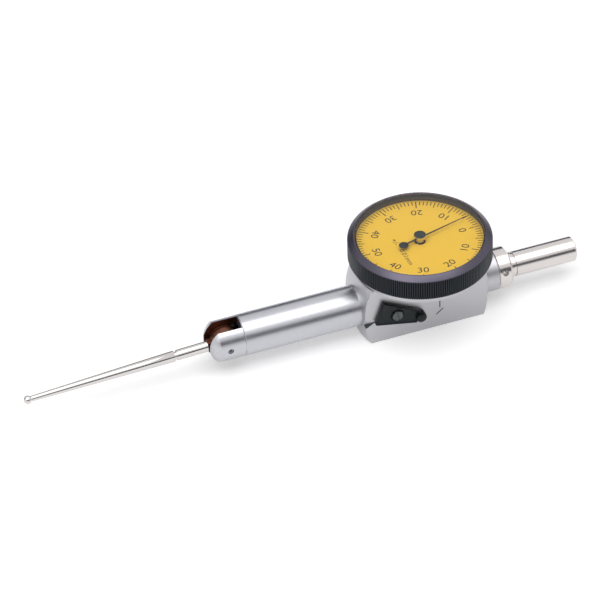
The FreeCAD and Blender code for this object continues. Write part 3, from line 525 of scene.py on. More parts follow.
def arc(start: tuple[float, float], end: tuple[float, float], bulge: float,
        count: int) -> list[tuple[float, float]]:
    """Points of a shallow arc between two profile points.

    Args:
        start: First point.
        end: Last point.
        bulge: Height of the arc over its chord, to the left of the way from start to end.
        count: Number of spans.

    Returns:
        The points, with both ends.
    """
    a, b = Vector(start), Vector(end)
    chord = b - a
    left = Vector((-chord.y, chord.x)).normalized()
    points = []
    for i in range(count + 1):
        t = i / count
        spot = a + chord * t + left * (bulge * 4 * t * (1 - t))
        points.append((spot.x, spot.y))
    return points


# ------------------------------------------------------------------ body, neck, fork and stem
@dataclass
class Body:
    """Housing, neck tube, fork head, case and stem. Sizes are millimetres."""

    radius: float = 10.0
    neck_radius: float = 4.9
    fork_radius: float = 4.85
    near_flat: float = 6.1
    front_crown: float = 2.0
    rear_crown: float = 1.2
    boss_length: float = 3.7
    edge: float = 0.18
    slot_width: float = 3.7
    slot_offset: float = -0.6
    slot_behind_pivot: float = 3.65
    nose_shoulder: float = 2.2
    nose_reach: float = 4.5
    fork_flat: float = 4.72
    collar_length: float = 3.45
    neck_bore: float = 3.9
    joint_edge: float = 0.12
    spigot_radius: float = 3.87
    spigot_length: float = 4.0
    stem_radius: float = 3.0
    notch_ahead: float = 4.6
    front: float = field(init=False)
    rear: float = field(init=False)
    base: float = field(init=False)
    top: float = field(init=False)
    dial_x: float = field(init=False)
    pivot_x: float = field(init=False)
    fork_x: float = field(init=False)

    def __post_init__(self) -> None:
        """Takes the places from the frame."""
        low, high = corner_mm("housing")
        self.front = low.x
        self.rear = high.x - self.boss_length
        self.base = low.z
        self.top = high.z
        self.dial_x = joint_named("bezel_turn")["pos_m"][0] / MM
        self.pivot_x = joint_named("rocker_swing")["pos_m"][0] / MM
        self.fork_x = corner_mm("neck_tube")[0].x

    def build(self) -> None:
        """Builds every fixed outer piece."""
        self.build_housing()
        self.build_neck()
        self.build_fork()
        self.build_pivot_screws()
        self.build_stem()
        self.build_case()
        self.build_marks()

    def build_housing(self) -> None:
        """Turned housing with flats, softly broken edges and the index notch, whose up-facing flank is
        darkened with painted shade.
        """
        front = arc((self.front, self.neck_radius), (self.front + self.front_crown, self.radius), 0.42, 10)
        rear = arc((self.rear - self.rear_crown, self.radius), (self.rear, self.neck_radius), 0.3, 8)
        collar = self.rear + self.boss_length
        profile = [(self.front, 0.0)] + front + rear
        profile += [(collar - self.edge, self.neck_radius), (collar, self.neck_radius - self.edge),
                    (collar, 0.0)]
        mesh = lathe(profile, Axis.X, ORIGIN, 144)
        sliced(mesh, Vector((0, 0, self.base)), -Z_AXIS)
        sliced(mesh, Vector((0, 0, self.top)), Z_AXIS)
        sliced(mesh, Vector((0, -self.near_flat, 0)), -Y_AXIS)
        rims = [edge for edge in mesh.edges if self.on_flat_rim(edge)]
        bmesh.ops.bevel(mesh, geom=rims, offset=self.edge * MM, affect="EDGES", segments=3, profile=0.5,
                        material=-1)
        body = piece("body_housing", mesh, "frame", Finish.SATIN_BODY, "housing")
        carved(body, [self.notch()], "FAST")
        # The notch's up-facing flank takes blackened steel as painted shade; the other flank keeps the satin
        # body.
        body.data.materials.append(material_of(Finish.BLACKENED))
        mark_x = joint_named("reversal_turn")["pos_m"][0] - self.notch_ahead * MM
        for face in body.data.polygons:
            shaded_flank = face.center.x < mark_x and -self.near_flat * MM + 1e-6 < face.center.y < -3.5 * MM
            if shaded_flank and abs(face.center.z) < 4 * MM and face.normal.z > 0.2 and face.normal.x < 0.2:
                face.material_index = 1

    def on_flat_rim(self, edge: bmesh.types.BMEdge) -> bool:
        """Tells whether an edge is a rim of one of the flats.

        Args:
            edge: The edge.

        Returns:
            True for a rim.
        """
        if len(edge.link_faces) != 2 or edge.calc_face_angle(0.0) < math.radians(9):
            return False
        middle = (edge.verts[0].co + edge.verts[1].co) / 2 / MM
        if middle.x > self.rear + 0.05:
            return False
        return middle.y < -self.near_flat + 0.01 or middle.z < self.base + 0.01 or middle.z > self.top - 0.01

    def notch(self) -> bmesh.types.BMesh:
        """Makes the wedge that cuts the V index notch before the lever's tail.

        Returns:
            The wedge's mesh.
        """
        joint = joint_named("reversal_turn")["pos_m"]
        tip_x, tip_z = joint[0] / MM - self.notch_ahead, joint[2] / MM - 0.9
        wide = tip_x - 4.3
        mesh = bmesh.new()
        near = -self.near_flat - 0.2
        mouth = [mesh.verts.new(Vector(p) * MM) for p in
                 ((wide, near, tip_z + 2.7), (wide, near, tip_z - 2.7), (wide, near + 1.35, tip_z - 1.4))]
        tip = mesh.verts.new(Vector((tip_x, near + 0.15, tip_z)) * MM)
        mesh.faces.new(mouth)
        for i in range(3):
            mesh.faces.new((mouth[i], mouth[(i + 1) % 3], tip))
        return mesh

    def build_neck(self) -> None:
        """Satin tube between the body and the fork head."""
        low, high = corner_mm("neck_tube")
        r, bore = self.neck_radius, self.neck_bore
        profile = [(low.x + self.joint_edge, r), (high.x, r), (high.x, bore), (low.x, bore),
                   (low.x, r - self.joint_edge)]
        piece("neck_sleeve", lathe(profile, Axis.X, ORIGIN, 128), "frame", Finish.SATIN_TUBE, "neck_tube")

    def build_fork(self) -> None:
        """Slotted head with a domed nose and side flats."""
        nose = self.pivot_x - self.nose_reach
        shoulder = self.pivot_x - self.nose_shoulder
        r = self.fork_radius
        dome = arc((nose, 2.0), (shoulder, r), 0.34, 10)
        spigot = self.fork_x + self.spigot_length
        profile = [(nose, 0.0)] + dome
        profile += [(self.fork_x - self.joint_edge, r), (self.fork_x, r - self.joint_edge),
                    (self.fork_x, self.spigot_radius), (spigot, self.spigot_radius), (spigot, 0.0)]
        mesh = lathe(profile, Axis.X, ORIGIN, 128)
        sliced(mesh, Vector((0, -self.fork_flat, 0)), -Y_AXIS)
        sliced(mesh, Vector((0, self.fork_flat, 0)), Y_AXIS)
        head = piece("slotted_head", mesh, "frame", Finish.SATIN_TUBE, "fork_head")
        half = self.slot_width / 2
        slot = block((nose - 2, self.slot_offset - half, -8),
                     (self.pivot_x + self.slot_behind_pivot, self.slot_offset + half, 8))
        bore = lathe([(self.pivot_x, 0.0), (self.pivot_x, 3.1), (spigot + 1, 3.1), (spigot + 1, 0.0)],
                     Axis.X, ORIGIN, 48)
        hole = lathe([(-8, 0.0), (-8, 0.7), (8, 0.7), (8, 0.0)], Axis.Y, Vector((self.pivot_x, 0, 0)), 40)
        carved(head, [slot, bore, hole])
        head.data.materials.append(material_of(Finish.BRONZED))
        inner = (self.slot_offset - half) * MM, (self.slot_offset + half) * MM
        for face in head.data.polygons:
            centre = face.center
            near_wall = abs(centre.y - inner[0]) < 1e-5 or abs(centre.y - inner[1]) < 1e-5
            if near_wall and abs(face.normal.y) > 0.9:
                face.material_index = 1

    def build_pivot_screws(self) -> None:
        """Ends of the two pivot screws, sunk in the cheeks."""
        meshes = []
        half = self.slot_width / 2
        for side in (-1, 1):
            outer = self.fork_flat - 0.25
            inner = abs(self.slot_offset + side * half)
            profile = [(side * inner, 0.0), (side * inner, 0.66), (side * (outer - 0.08), 0.66),
                       (side * outer, 0.58), (side * outer, 0.34), (side * (outer - 0.3), 0.28),
                       (side * (outer - 0.3), 0.0)]
            meshes.append(lathe(profile, Axis.Y, Vector((self.pivot_x, 0, 0)), 40))
        piece("pivot_screw_ends", join(*meshes), "frame", Finish.GROUND, "pivot_screws")

    def build_stem(self) -> None:
        """Collar and stem, with the tommy-bar hole."""
        high = corner_mm("stem")[1].x
        chamfer, r, groove, spigot = 0.45, self.stem_radius, 2.75, 2.2
        profile = [(-self.collar_length - 5.5, 0.0), (-self.collar_length - 5.5, spigot),
                   (-self.collar_length, spigot), (-self.collar_length, self.neck_radius - self.edge),
                   (-self.collar_length + self.edge, self.neck_radius), (-0.55, self.neck_radius),
                   (0.0, 4.35), (0.0, 3.05), (0.05, r), (1.05, r), (1.12, groove), (1.6, groove), (1.67, r),
                   (high - chamfer, r), (high, r - chamfer), (high, 0.0)]
        shaft = piece("clamping_stem", lathe(profile, Axis.X, ORIGIN, 128), "frame", Finish.STEM, "stem")
        rise = math.radians(20.0)
        hole = lathe([(-8.0, 0.0), (-8.0, 0.75), (-2.9, 0.75), (-2.9, 0.0)], Axis.Y,
                     Vector(((-self.collar_length - 0.55) / 2, 0, 0)), 40)
        bmesh.ops.rotate(hole, cent=(0, 0, 0), matrix=Matrix.Rotation(-rise, 3, "X"), verts=hole.verts)
        carved(shaft, [hole])

    def build_case(self) -> None:
        """Shallow round case under the bezel."""
        low, high = corner_mm("dial_case")
        r = (high.x - low.x) / 2
        profile = [(low.z, 6.4), (low.z, r - 0.2), (low.z + 0.2, r), (high.z, r), (high.z, r - 1.0),
                   (low.z + 1.2, r - 1.0), (low.z + 1.2, 6.4)]
        piece("dial_case_cup", lathe(profile, Axis.Z, Vector((self.dial_x, 0, 0)), 128), "frame",
              Finish.SATIN_BODY, "dial_case")

    def build_marks(self) -> None:
        """Engraved sense mark on the near flat: an upright line over a slanted one."""
        y = -self.near_flat
        strokes = (((2.4, 1.2), (2.4, -1.9)), ((3.2, -2.4), (1.45, -3.8)))
        meshes = []
        for (x0, z0), (x1, z1) in strokes:
            length = math.hypot(x1 - x0, z1 - z0)
            bar = block((-length / 2, -0.02, -0.13), (length / 2, 0.02, 0.13), 0.03, 1)
            turn = Matrix.Rotation(-math.atan2(z1 - z0, x1 - x0), 3, "Y")
            bmesh.ops.rotate(bar, cent=(0, 0, 0), matrix=turn, verts=bar.verts)
            middle = Vector((self.dial_x + (x0 + x1) / 2, y, (z0 + z1) / 2))
            bmesh.ops.translate(bar, vec=middle * MM, verts=bar.verts)
            meshes.append(bar)
        piece("sense_mark", join(*meshes), "frame", Finish.ENGRAVED)


# ------------------------------------------------------------------ bezel, dial and crystal
@dataclass
class Dial:
    """Bezel, printed dial and crystal. Sizes are millimetres."""

    ridges: int = 200
    knurl_depth: float = 0.22
    band: float = 5.15
    opening: float = 15.1
    divisions: int = 100
    tick_outer: float = 14.7
    minor: float = 1.35
    middle: float = 1.9
    major: float = 2.45
    number_radius: float = 10.7
    number_size: float = 2.6
    number_stretch: float = 1.1
    figures: tuple[str, ...] = ("0", "10", "20", "30", "40", "50", "40", "30", "20", "10")
    x: float = field(init=False)
    outer: float = field(init=False)
    skirt: float = field(init=False)
    lip: float = field(init=False)
    face: float = field(init=False)
    crystal_low: float = field(init=False)
    crystal_high: float = field(init=False)

    def __post_init__(self) -> None:
        """Takes the places from the frame."""
        low, high = corner_mm("bezel_ring")
        self.x = (low.x + high.x) / 2
        self.outer = (high.x - low.x) / 2
        self.skirt, self.lip = low.z, high.z
        self.face = corner_mm("dial_face")[1].z
        self.crystal_low, self.crystal_high = (c.z for c in corner_mm("crystal"))

    def build(self) -> None:
        """Builds the bezel, the crystal, the dial and what is printed on it."""
        self.build_bezel()
        self.build_crystal()
        self.build_face()
        self.build_graduations()
        self.build_numbers()

    def build_bezel(self) -> None:
        """Knurled ring with a smooth coned top."""
        shoulder = self.skirt + self.band
        r, inner = self.outer, self.opening
        profile = [(self.skirt, inner + 0.55), (self.skirt, r - 0.35), (self.skirt + 0.3, r),
                   (shoulder - 0.3, r), (shoulder - 0.1, r - 0.04), (shoulder + 0.05, r - 0.16),
                   (self.lip - 0.08, inner + 0.42), (self.lip, inner + 0.3), (self.lip, inner + 0.08),
                   (self.lip - 0.06, inner), (self.face + 0.02, inner), (self.face + 0.02, inner + 0.25),
                   (self.skirt + 0.3, inner + 0.25)]
        steps = self.ridges * 4
        mesh = lathe(profile, Axis.Z, Vector((self.x, 0, 0)), steps)
        centre = Vector((self.x, 0, 0)) * MM
        for vert in mesh.verts:
            offset = vert.co - centre
            radius = math.hypot(offset.x, offset.y)
            turn = math.atan2(offset.y, offset.x) / (2 * math.pi) * self.ridges
            in_band = self.skirt - 0.01 < vert.co.z / MM < shoulder - 0.05 and radius / MM > r - 0.5
            if in_band and round(turn * 4) % 4 == 0:
                pull = 1.0 - self.knurl_depth * MM / radius
                vert.co.x = centre.x + offset.x * pull
                vert.co.y = centre.y + offset.y * pull
        ring = piece("knurled_bezel", mesh, "bezel", Finish.BLACK_ANODISED, "bezel_ring", sharp=22.0)
        # The coned top and the opening take the lighter cone colour, which is painted sheen on the same black
        # anodising.
        ring.data.materials.append(material_of(Finish.ANODISED_CONE))
        for face in ring.data.polygons:
            centre_z = face.center.z / MM
            radius = math.hypot(face.center.x - centre.x, face.center.y) / MM
            if centre_z > shoulder - 0.05 or (centre_z > self.face and radius < inner + 0.02):
                face.material_index = 1

    def build_crystal(self) -> None:
        """Gently domed glass with a bevelled edge."""
        low, high = self.crystal_low, self.crystal_high
        dome = 0.75
        r = self.opening - 0.03
        count = 12
        top = [(high - dome * (i / count) ** 2, (r - 0.15) * i / count) for i in range(count + 1)]
        under = [(low + dome * (1 - (i / count) ** 2), r * i / count) for i in range(count, -1, -1)]
        edge = [(high - dome - 0.15, r)]
        piece("domed_crystal", lathe(top + edge + under, Axis.Z, Vector((self.x, 0, 0)), 128), "bezel",
              Finish.CRYSTAL, "crystal")

    def build_face(self) -> None:
        """Yellow dial disc with a rounded rim."""
        low, high = corner_mm("dial_face")
        r = (high.x - low.x) / 2
        profile = [(low.z, 1.3), (low.z, r), (high.z - 0.05, r), (high.z, r - 0.05), (high.z, 1.35),
                   (high.z - 0.05, 1.3)]
        piece("printed_dial", lathe(profile, Axis.Z, Vector((self.x, 0, 0)), 160), "bezel",
              Finish.DIAL_YELLOW, "dial_face")

    def build_graduations(self) -> None:
        """One hundred printed strokes, longer at every fifth and longest at every tenth."""
        strokes = []
        for index in range(self.divisions):
            length, width = self.minor, 0.20
            if index % 5 == 0:
                length, width = self.middle, 0.21
            if index % 10 == 0:
                length, width = self.major, 0.23
            bar = block((self.tick_outer - length, -width / 2, -0.004), (self.tick_outer, width / 2, 0.006))
            turn = Matrix.Rotation(2 * math.pi * index / self.divisions, 3, "Z")
            bmesh.ops.rotate(bar, cent=(0, 0, 0), matrix=turn, verts=bar.verts)
            bmesh.ops.translate(bar, vec=Vector((self.x, 0, self.face)) * MM, verts=bar.verts)
            strokes.append(bar)
        piece("dial_graduations", join(*strokes), "bezel", Finish.INK)

    def build_numbers(self) -> None:
        """Generic figures round the dial, each standing with its top to the centre."""
        for index, figures in enumerate(self.figures):
            angle = 2 * math.pi * index / len(self.figures)
            self.print_text(f"figure_{index}_{figures}", figures, self.number_size, self.number_radius, angle,
                            angle + math.pi / 2)
        self.print_text("unit_mark", "0.01mm", 1.7, 6.65, math.radians(220.0), math.radians(-88.0))
        self.print_text("sense_sign", "+/-", 1.9, 5.76, math.radians(161.4), math.radians(-88.0))

    def print_text(self, name: str, words: str, size: float, radius: float, angle: float,
                   turn: float) -> None:
        """Prints a short word on the dial.

        Args:
            name: The piece's name.
            words: Figures to print.
            size: Height of the type body in millimetres.
            radius: Distance of its middle from the dial's centre.
            angle: Direction of its middle from the dial's centre, in radians.
            turn: Direction of reading, in radians.
        """
        curve = bpy.data.curves.new(name, "FONT")
        curve.body = words
        curve.size = size * MM
        curve.align_x, curve.align_y = "CENTER", "CENTER"
        curve.extrude = 0.004 * MM
        curve.resolution_u = 4
        holder = bpy.data.objects.new(name + "_curve", curve)
        bpy.context.scene.collection.objects.link(holder)
        bpy.context.view_layer.update()
        flat = bpy.data.meshes.new_from_object(holder.evaluated_get(bpy.context.evaluated_depsgraph_get()))
        bpy.data.objects.remove(holder)
        mesh = bmesh.new()
        mesh.from_mesh(flat)
        bpy.data.meshes.remove(flat)
        bmesh.ops.remove_doubles(mesh, verts=mesh.verts, dist=1e-8)
        place = Vector((self.x + radius * math.cos(angle), radius * math.sin(angle), self.face + 0.003)) * MM
        matrix = Matrix.Translation(place) @ Matrix.Rotation(turn, 4, "Z") @ Matrix.Diagonal(
            (self.number_stretch, 1.0, 1.0, 1.0))
        bmesh.ops.transform(mesh, matrix=matrix, verts=mesh.verts)
        piece(name, mesh, "bezel", Finish.INK)


# ------------------------------------------------------------------ pointer
@dataclass
class Pointer:
    """Needle and hub. Sizes are millimetres."""

    reach: float = 13.3
    tail: float = 4.6
    weight: float = 1.15
    angle: float = 14.5
    sheet: float = 0.13
    x: float = field(init=False)
    low: float = field(init=False)
    hub_low: float = field(init=False)
    hub_top: float = field(init=False)

    def __post_init__(self) -> None:
        """Takes the places from the frame."""
        self.x = joint_named("pointer_turn")["pos_m"][0] / MM
        self.low = corner_mm("pointer")[0].z
        self.hub_low = corner_mm("pointer_hub")[0].z
        self.hub_top = corner_mm("pointer_hub")[1].z

    def build(self) -> None:
        """Builds the needle and the hub."""
        centre = Vector((self.x, 0, 0))
        low, sheet = self.low, self.sheet
        needle = prism([(0.8, 0.2), (self.reach, 0.05), (self.reach, -0.05), (0.8, -0.2)],
                       lambda u, v: centre + Vector((u, v, self.low)), Vector((0, 0, sheet)))
        tail = prism([(-self.tail, 0.2), (-0.8, 0.24), (-0.8, -0.24), (-self.tail, -0.2)],
                     lambda u, v: centre + Vector((u, v, self.low)), Vector((0, 0, sheet)))
        weight = lathe([(low, 0.0), (low, self.weight - 0.03), (low + 0.03, self.weight),
                        (low + 0.1, self.weight), (low + sheet, self.weight - 0.03), (low + sheet, 0.0)],
                       Axis.Z, centre + Vector((-self.tail, 0, 0)), 48)
        eye = lathe([(low, 1.0), (low, 1.3), (low + sheet, 1.3), (low + sheet, 1.0)], Axis.Z, centre, 48)
        mesh = join(needle, tail, weight, eye)
        bmesh.ops.rotate(mesh, cent=centre * MM, matrix=Matrix.Rotation(math.radians(self.angle), 3, "Z"),
                         verts=mesh.verts)
        piece("needle", mesh, "pointer", Finish.BLACKENED, "pointer")
        top, low = self.hub_top, self.hub_low
        base = top - 0.95
        profile = [(low, 0.42), (low, 1.0), (base, 1.0), (base + 0.02, 1.38), (base + 0.08, 1.45),
                   (top - 0.2, 1.45), (top - 0.06, 1.38), (top, 1.2), (top, 0.0), (top - 0.45, 0.0),
                   (top - 0.45, 0.42)]
        hub = piece("pointer_cap", lathe(profile, Axis.Z, centre, 64), "pointer", Finish.POLISHED,
                    "pointer_hub")
        hub.data.materials.append(material_of(Finish.BLACKENED))
        for face in hub.data.polygons:
            if face.center.z / MM > top - 0.12:
                face.material_index = 1


# ------------------------------------------------------------------ stylus
@dataclass
class Stylus:
    """Stylus and its ball. Sizes are millimetres."""

    reach: float = 47.8
    droop: float = 2.6
    ball: float = 1.0
    shank: float = 1.275
    offset: float = -0.6

    def build(self) -> None:
        """Builds the tapered stylus and the ball."""
        pivot = Vector((joint_named("stylus_set")["pos_m"][0] / MM, self.offset, 0))
        tip = -self.reach + 0.73
        profile = [(-2.1, 0.0), (-2.1, 0.6), (-4.3, 0.6), (-4.3, 1.15), (-4.42, self.shank),
                   (-11.88, self.shank), (-11.95, 1.2), (-11.95, 0.95), (-12.45, 0.95), (-12.45, 1.28),
                   (-12.55, 1.36), (-30.0, 1.02), (tip + 0.5, 0.69), (tip, 0.66), (tip - 0.1, 0.0)]
        shaft = lathe(profile, Axis.X, pivot, 64)
        ball = bmesh.new()
        bmesh.ops.create_uvsphere(ball, u_segments=48, v_segments=32, radius=self.ball * MM)
        bmesh.ops.translate(ball, vec=(pivot + Vector((-self.reach, 0, 0))) * MM, verts=ball.verts)
        turn = Matrix.Rotation(math.radians(-self.droop), 3, "Y")
        for mesh in (shaft, ball):
            bmesh.ops.rotate(mesh, cent=pivot * MM, matrix=turn, verts=mesh.verts)
        piece("tapered_stylus", shaft, "stylus_body", Finish.POLISHED, "stylus", sharp=40.0)
        piece("contact_ball", ball, "stylus_body", Finish.POLISHED, "stylus_ball", sharp=80.0)


# ------------------------------------------------------------------ changeover lever
@dataclass
class ChangeoverLever:
    """Fan-shaped lever with a raised rim, its nub and its screw. Sizes are millimetres."""

    tail: float = 4.7
    nose: float = 5.6
    tail_half: float = 3.0
    nose_half: float = 1.6
    thickness: float = 0.8
    rim: float = 0.45
    angle: float = -20.0
    face: float = 6.22

    def build(self) -> None:
        """Builds the lever and the slotted screw."""
        where = joint_named("reversal_turn")["pos_m"]
        pivot = Vector((where[0], 0.0, where[2])) / MM
        outline = [(-self.tail, -self.tail_half), (self.nose, -self.nose_half), (self.nose, self.nose_half),
                   (-self.tail, self.tail_half)]
        plate = prism(outline, lambda u, v: pivot + Vector((u, -self.face, v)),
                      Vector((0, -self.thickness - self.rim, 0)))
        front = min(plate.faces, key=lambda f: f.calc_center_median().y)
        bmesh.ops.inset_individual(plate, faces=[front], thickness=self.rim * MM, depth=0.0)
        bmesh.ops.translate(plate, vec=(0, self.rim * MM, 0), verts=front.verts)
        bmesh.ops.bevel(plate, geom=plate.edges[:], offset=0.12 * MM, affect="EDGES", segments=2, profile=0.5,
                        material=-1)
        nub_place = pivot + Vector((self.nose + 0.58, -self.face, 0))
        nub = lathe([(0.0, 0.0), (0.0, 1.3), (-1.3, 1.3), (-1.62, 1.18), (-1.82, 0.85), (-1.9, 0.4),
                     (-1.9, 0.0)], Axis.Y, nub_place, 48)
        boss = lathe([(0.0, 0.83), (0.0, 1.65), (-self.thickness, 1.65), (-self.thickness, 0.83)], Axis.Y,
                     pivot + Vector((0, -self.face, 0)), 48)
        mesh = join(plate, nub, boss)
        bmesh.ops.rotate(mesh, cent=pivot * MM, matrix=Matrix.Rotation(math.radians(-self.angle), 3, "Y"),
                         verts=mesh.verts)
        piece("reversal_lever_arm", mesh, "reversal_lever", Finish.BLACKENED, "changeover_lever")
        seat = -self.face - self.thickness
        head = lathe([(seat, 0.0), (seat, 1.3), (seat - 0.4, 1.3), (seat - 0.52, 1.18), (seat - 0.55, 1.05),
                      (seat - 0.55, 0.0)], Axis.Y, pivot, 48)
        screw = piece("lever_screw", head, "reversal_lever", Finish.SCREW_GREY, "changeover_screw")
        slot = block((pivot.x - 0.19, seat - 1.5, pivot.z - 3), (pivot.x + 0.19, seat - 0.22, pivot.z + 3))
        bmesh.ops.rotate(slot, cent=pivot * MM, matrix=Matrix.Rotation(math.radians(-14.0), 3, "Y"),
                         verts=slot.verts)
        carved(screw, [slot])


# ------------------------------------------------------------------ pieces kept from the frame
CAD_FINISHES: dict[Finish, tuple[str, ...]] = {
    Finish.BRONZED: ("rocker_lever", "stylus_holder"),
    Finish.GROUND: ("rocker_arbor", "clutch_screw", "sector_arbor", "input_pin", "crown_pinion_arbor",
                    "centre_arbor", "hairspring", "hairspring_stud", "plate_screws", "stop_pins",
                    "case_screws", "bezel_wire", "lever_washer"),
    Finish.BRASS: ("clutch_washers", "sector_gear", "crown_wheel", "hairspring_collet", "movement_plate_near",
                   "movement_plate_far", "plate_pillars", "top_bridge", "footstep_bridge", "dial_carrier"),
    Finish.BLACKENED: ("changeover_cam",),
    Finish.RUBBER: ("crystal_gasket",),
}


def dress_frame() -> None:
    """Gives the CAD nodes that stay their real finishes."""
    for finish, nodes in CAD_FINISHES.items():
        for name in nodes:
            obj = frame["nodes"][name]
            if not obj.data.materials:
                obj.data.materials.append(None)
            for index in range(len(obj.data.materials)):
                obj.data.materials[index] = material_of(finish)
            LOG.info("dressed %s in %s", name, finish.value.name)


# ------------------------------------------------------------------ studio
@dataclass(frozen=True)
class Softbox:
    """A soft lamp aimed at the object.

    Attributes:
        name: The lamp's name.
        azimuth: Direction from the object in degrees, 0 towards -Y and 90 towards +X.
        elevation: Degrees above the floor.
        size: Width and height in metres.
        power: Watts.
        distance: Distance from the target in metres.
    """

    name: str
    azimuth: float
    elevation: float
    size: tuple[float, float]
    power: float
    distance: float = 0.6

    def build(self, target: Vector) -> None:
        """Adds the lamp.

        Args:
            target: The point it shines at, in metres.
        """
        a, e = math.radians(self.azimuth), math.radians(self.elevation)
        back = Vector((math.sin(a) * math.cos(e), -math.cos(a) * math.cos(e), math.sin(e)))
        data = bpy.data.lights.new(self.name, "AREA")
        data.shape = "RECTANGLE"
        data.size, data.size_y = self.size
        data.energy = self.power
        lamp = bpy.data.objects.new(self.name, data)
        lamp.location = target + back * self.distance
        lamp.rotation_mode = "QUATERNION"
        lamp.rotation_quaternion = (-back).to_track_quat("-Z", "Y")
        bpy.context.scene.collection.objects.link(lamp)


@dataclass(frozen=True)
class Flag:
    """A plain upright panel, hidden from the camera, that metal reflects as a darker band.

    Attributes:
        name: The panel's name.
        azimuth: Direction from the object in degrees, 0 towards -Y and 90 towards +X.
        distance: Distance from the object in metres.
        width: Width in metres.
        low: Height of its lower edge over the floor in metres.
        high: Height of its upper edge over the floor in metres.
        colour: sRGB hex colour.
    """

    name: str
    azimuth: float
    distance: float
    width: float
    low: float
    high: float
    colour: str

    def build(self, level: float) -> None:
        """Stands the panel on the floor's level.

        Args:
            level: Height of the floor in metres.
        """
        mesh = bmesh.new()
        bmesh.ops.create_grid(mesh, x_segments=1, y_segments=1, size=0.5)
        bmesh.ops.scale(mesh, vec=(self.width, self.high - self.low, 1.0), verts=mesh.verts)
        upright = Matrix.Rotation(math.pi / 2, 4, "X")
        turn = Matrix.Rotation(math.radians(self.azimuth), 4, "Z")
        shift = Matrix.Translation((0.0, -self.distance, level + (self.low + self.high) / 2))
        bmesh.ops.transform(mesh, matrix=turn @ shift @ upright, verts=mesh.verts)
        data = bpy.data.meshes.new(self.name)
        mesh.to_mesh(data)
        mesh.free()
        panel = bpy.data.objects.new(self.name, data)
        bpy.context.scene.collection.objects.link(panel)
        material, tree, output = new_material(self.name)
        shader = add_node(tree, "ShaderNodeBsdfDiffuse", inputs={"Color": linear(self.colour)})
        tree.links.new(shader.outputs[0], output.inputs["Surface"])
        data.materials.append(material)
        panel.visible_camera = False


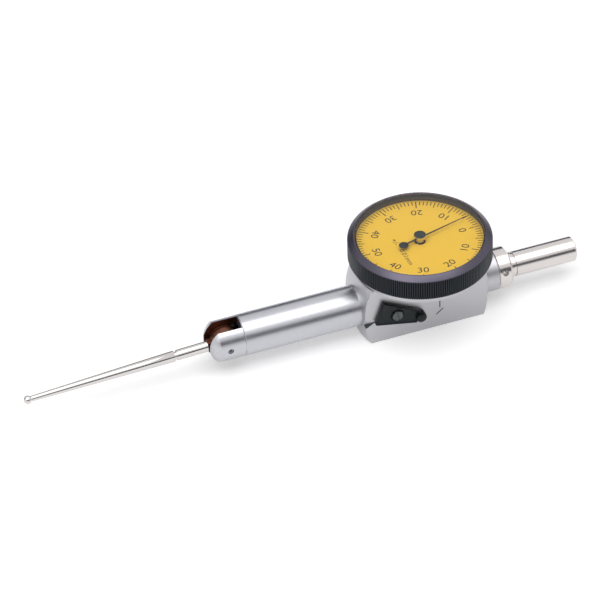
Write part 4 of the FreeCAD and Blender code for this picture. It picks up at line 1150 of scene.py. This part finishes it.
@dataclass
class Studio:
    """Floor, world, lamps, flags and camera. Angles are degrees and lengths metres."""

    azimuth: float = -19.6
    elevation: float = 39.4
    roll: float = 1.85
    distance: float = 1.0
    lens: float = 258.0
    aim: tuple[float, float, float] = (-0.0485, 0.00828, -0.00147)
    floor_colour: str = "#e6e6e6"
    lamps: tuple[Softbox, ...] = (
        Softbox("top_softbox", -10.0, 80.0, (0.8, 0.5), 2.4),
        Softbox("front_softbox", -50.0, 45.0, (0.5, 0.4), 0.7),
    )
    flags: tuple[Flag, ...] = (
        Flag("back_flag", 180.0, 0.5, 2.4, 0.0, 0.25, "#4c5364"),
        Flag("front_flag", 0.0, 0.7, 2.0, 0.08, 0.42, "#6c6e74"),
    )

    def build(self) -> None:
        """Builds the studio and the camera."""
        level = CAD_BOX[0][2]
        self.build_floor(level)
        self.build_world()
        for lamp in self.lamps:
            lamp.build(Vector((-0.035, 0.0, 0.0)))
        for flag in self.flags:
            flag.build(level)
        self.build_camera()
        bpy.context.scene.view_settings.view_transform = "Standard"

    def build_floor(self, level: float) -> None:
        """Pale floor that shows white where no shadow falls.

        Args:
            level: Height of the floor in metres.
        """
        mesh = bmesh.new()
        bmesh.ops.create_grid(mesh, x_segments=1, y_segments=1, size=3.0)
        bmesh.ops.translate(mesh, vec=(0, 0, level), verts=mesh.verts)
        data = bpy.data.meshes.new("studio_floor")
        mesh.to_mesh(data)
        mesh.free()
        floor = bpy.data.objects.new("studio_floor", data)
        bpy.context.scene.collection.objects.link(floor)
        material, tree, output = new_material("pale_floor")
        seen = self.seen_directly(tree)
        glow = add_node(tree, "ShaderNodeMath", {"operation": "MULTIPLY"}, {0: seen, 1: 0.35})
        matt = add_node(tree, "ShaderNodeBsdfDiffuse", inputs={"Color": linear(self.floor_colour)})
        light = add_node(tree, "ShaderNodeEmission", inputs={"Strength": glow.outputs[0]})
        both = add_node(tree, "ShaderNodeAddShader", inputs={0: matt.outputs[0], 1: light.outputs[0]})
        tree.links.new(both.outputs[0], output.inputs["Surface"])
        data.materials.append(material)

    @staticmethod
    def seen_directly(tree: bpy.types.NodeTree) -> bpy.types.NodeSocket:
        """Adds a value of 1 for camera, glossy and transmission rays.

        Args:
            tree: The node tree.

        Returns:
            The value's socket.
        """
        path = add_node(tree, "ShaderNodeLightPath")
        value = path.outputs["Is Camera Ray"]
        for name in ("Is Glossy Ray", "Is Transmission Ray"):
            larger = add_node(tree, "ShaderNodeMath", {"operation": "MAXIMUM"},
                              {0: value, 1: path.outputs[name]})
            value = larger.outputs[0]
        return value

    def build_world(self) -> None:
        """White surround for the camera and for reflections, with a plain pale fill."""
        world = bpy.data.worlds.new("studio_world")
        bpy.context.scene.world = world
        world.use_nodes = True
        tree = world.node_tree
        tree.nodes.clear()
        output = tree.nodes.new("ShaderNodeOutputWorld")
        strength = add_node(tree, "ShaderNodeMapRange", inputs={
            "Value": self.seen_directly(tree), "To Min": 0.5, "To Max": 1.0})
        light = add_node(tree, "ShaderNodeBackground", inputs={
            "Color": (1, 1, 1, 1), "Strength": strength.outputs[0]})
        tree.links.new(light.outputs[0], output.inputs["Surface"])

    def build_camera(self) -> None:
        """Long lens at the object's usual viewing angle."""
        a, e = math.radians(self.azimuth), math.radians(self.elevation)
        back = Vector((math.sin(a) * math.cos(e), -math.cos(a) * math.cos(e), math.sin(e)))
        data = bpy.data.cameras.new("camera")
        data.sensor_width = 36.0
        data.lens = self.lens
        camera = bpy.data.objects.new("camera", data)
        camera.location = Vector(self.aim) + back * self.distance
        turn = (-back).to_track_quat("-Z", "Y").to_matrix()
        roll = Matrix.Rotation(math.radians(-self.roll), 3, back)
        camera.rotation_euler = (roll @ turn).to_euler()
        data.clip_start, data.clip_end = 0.05, 20.0
        bpy.context.scene.collection.objects.link(camera)
        bpy.context.scene.camera = camera
        LOG.info("camera right %s", [round(v, 4) for v in (roll @ turn).col[0]])


def main() -> None:
    """Builds the instrument in order."""
    logging.basicConfig(level=logging.INFO, format="%(name)s: %(message)s")
    for maker in (Body(), Dial(), Pointer(), Stylus(), ChangeoverLever()):
        LOG.info("building %s", type(maker).__name__)
        maker.build()
    dress_frame()
    Studio().build()


if __name__ == "__main__":
    main()
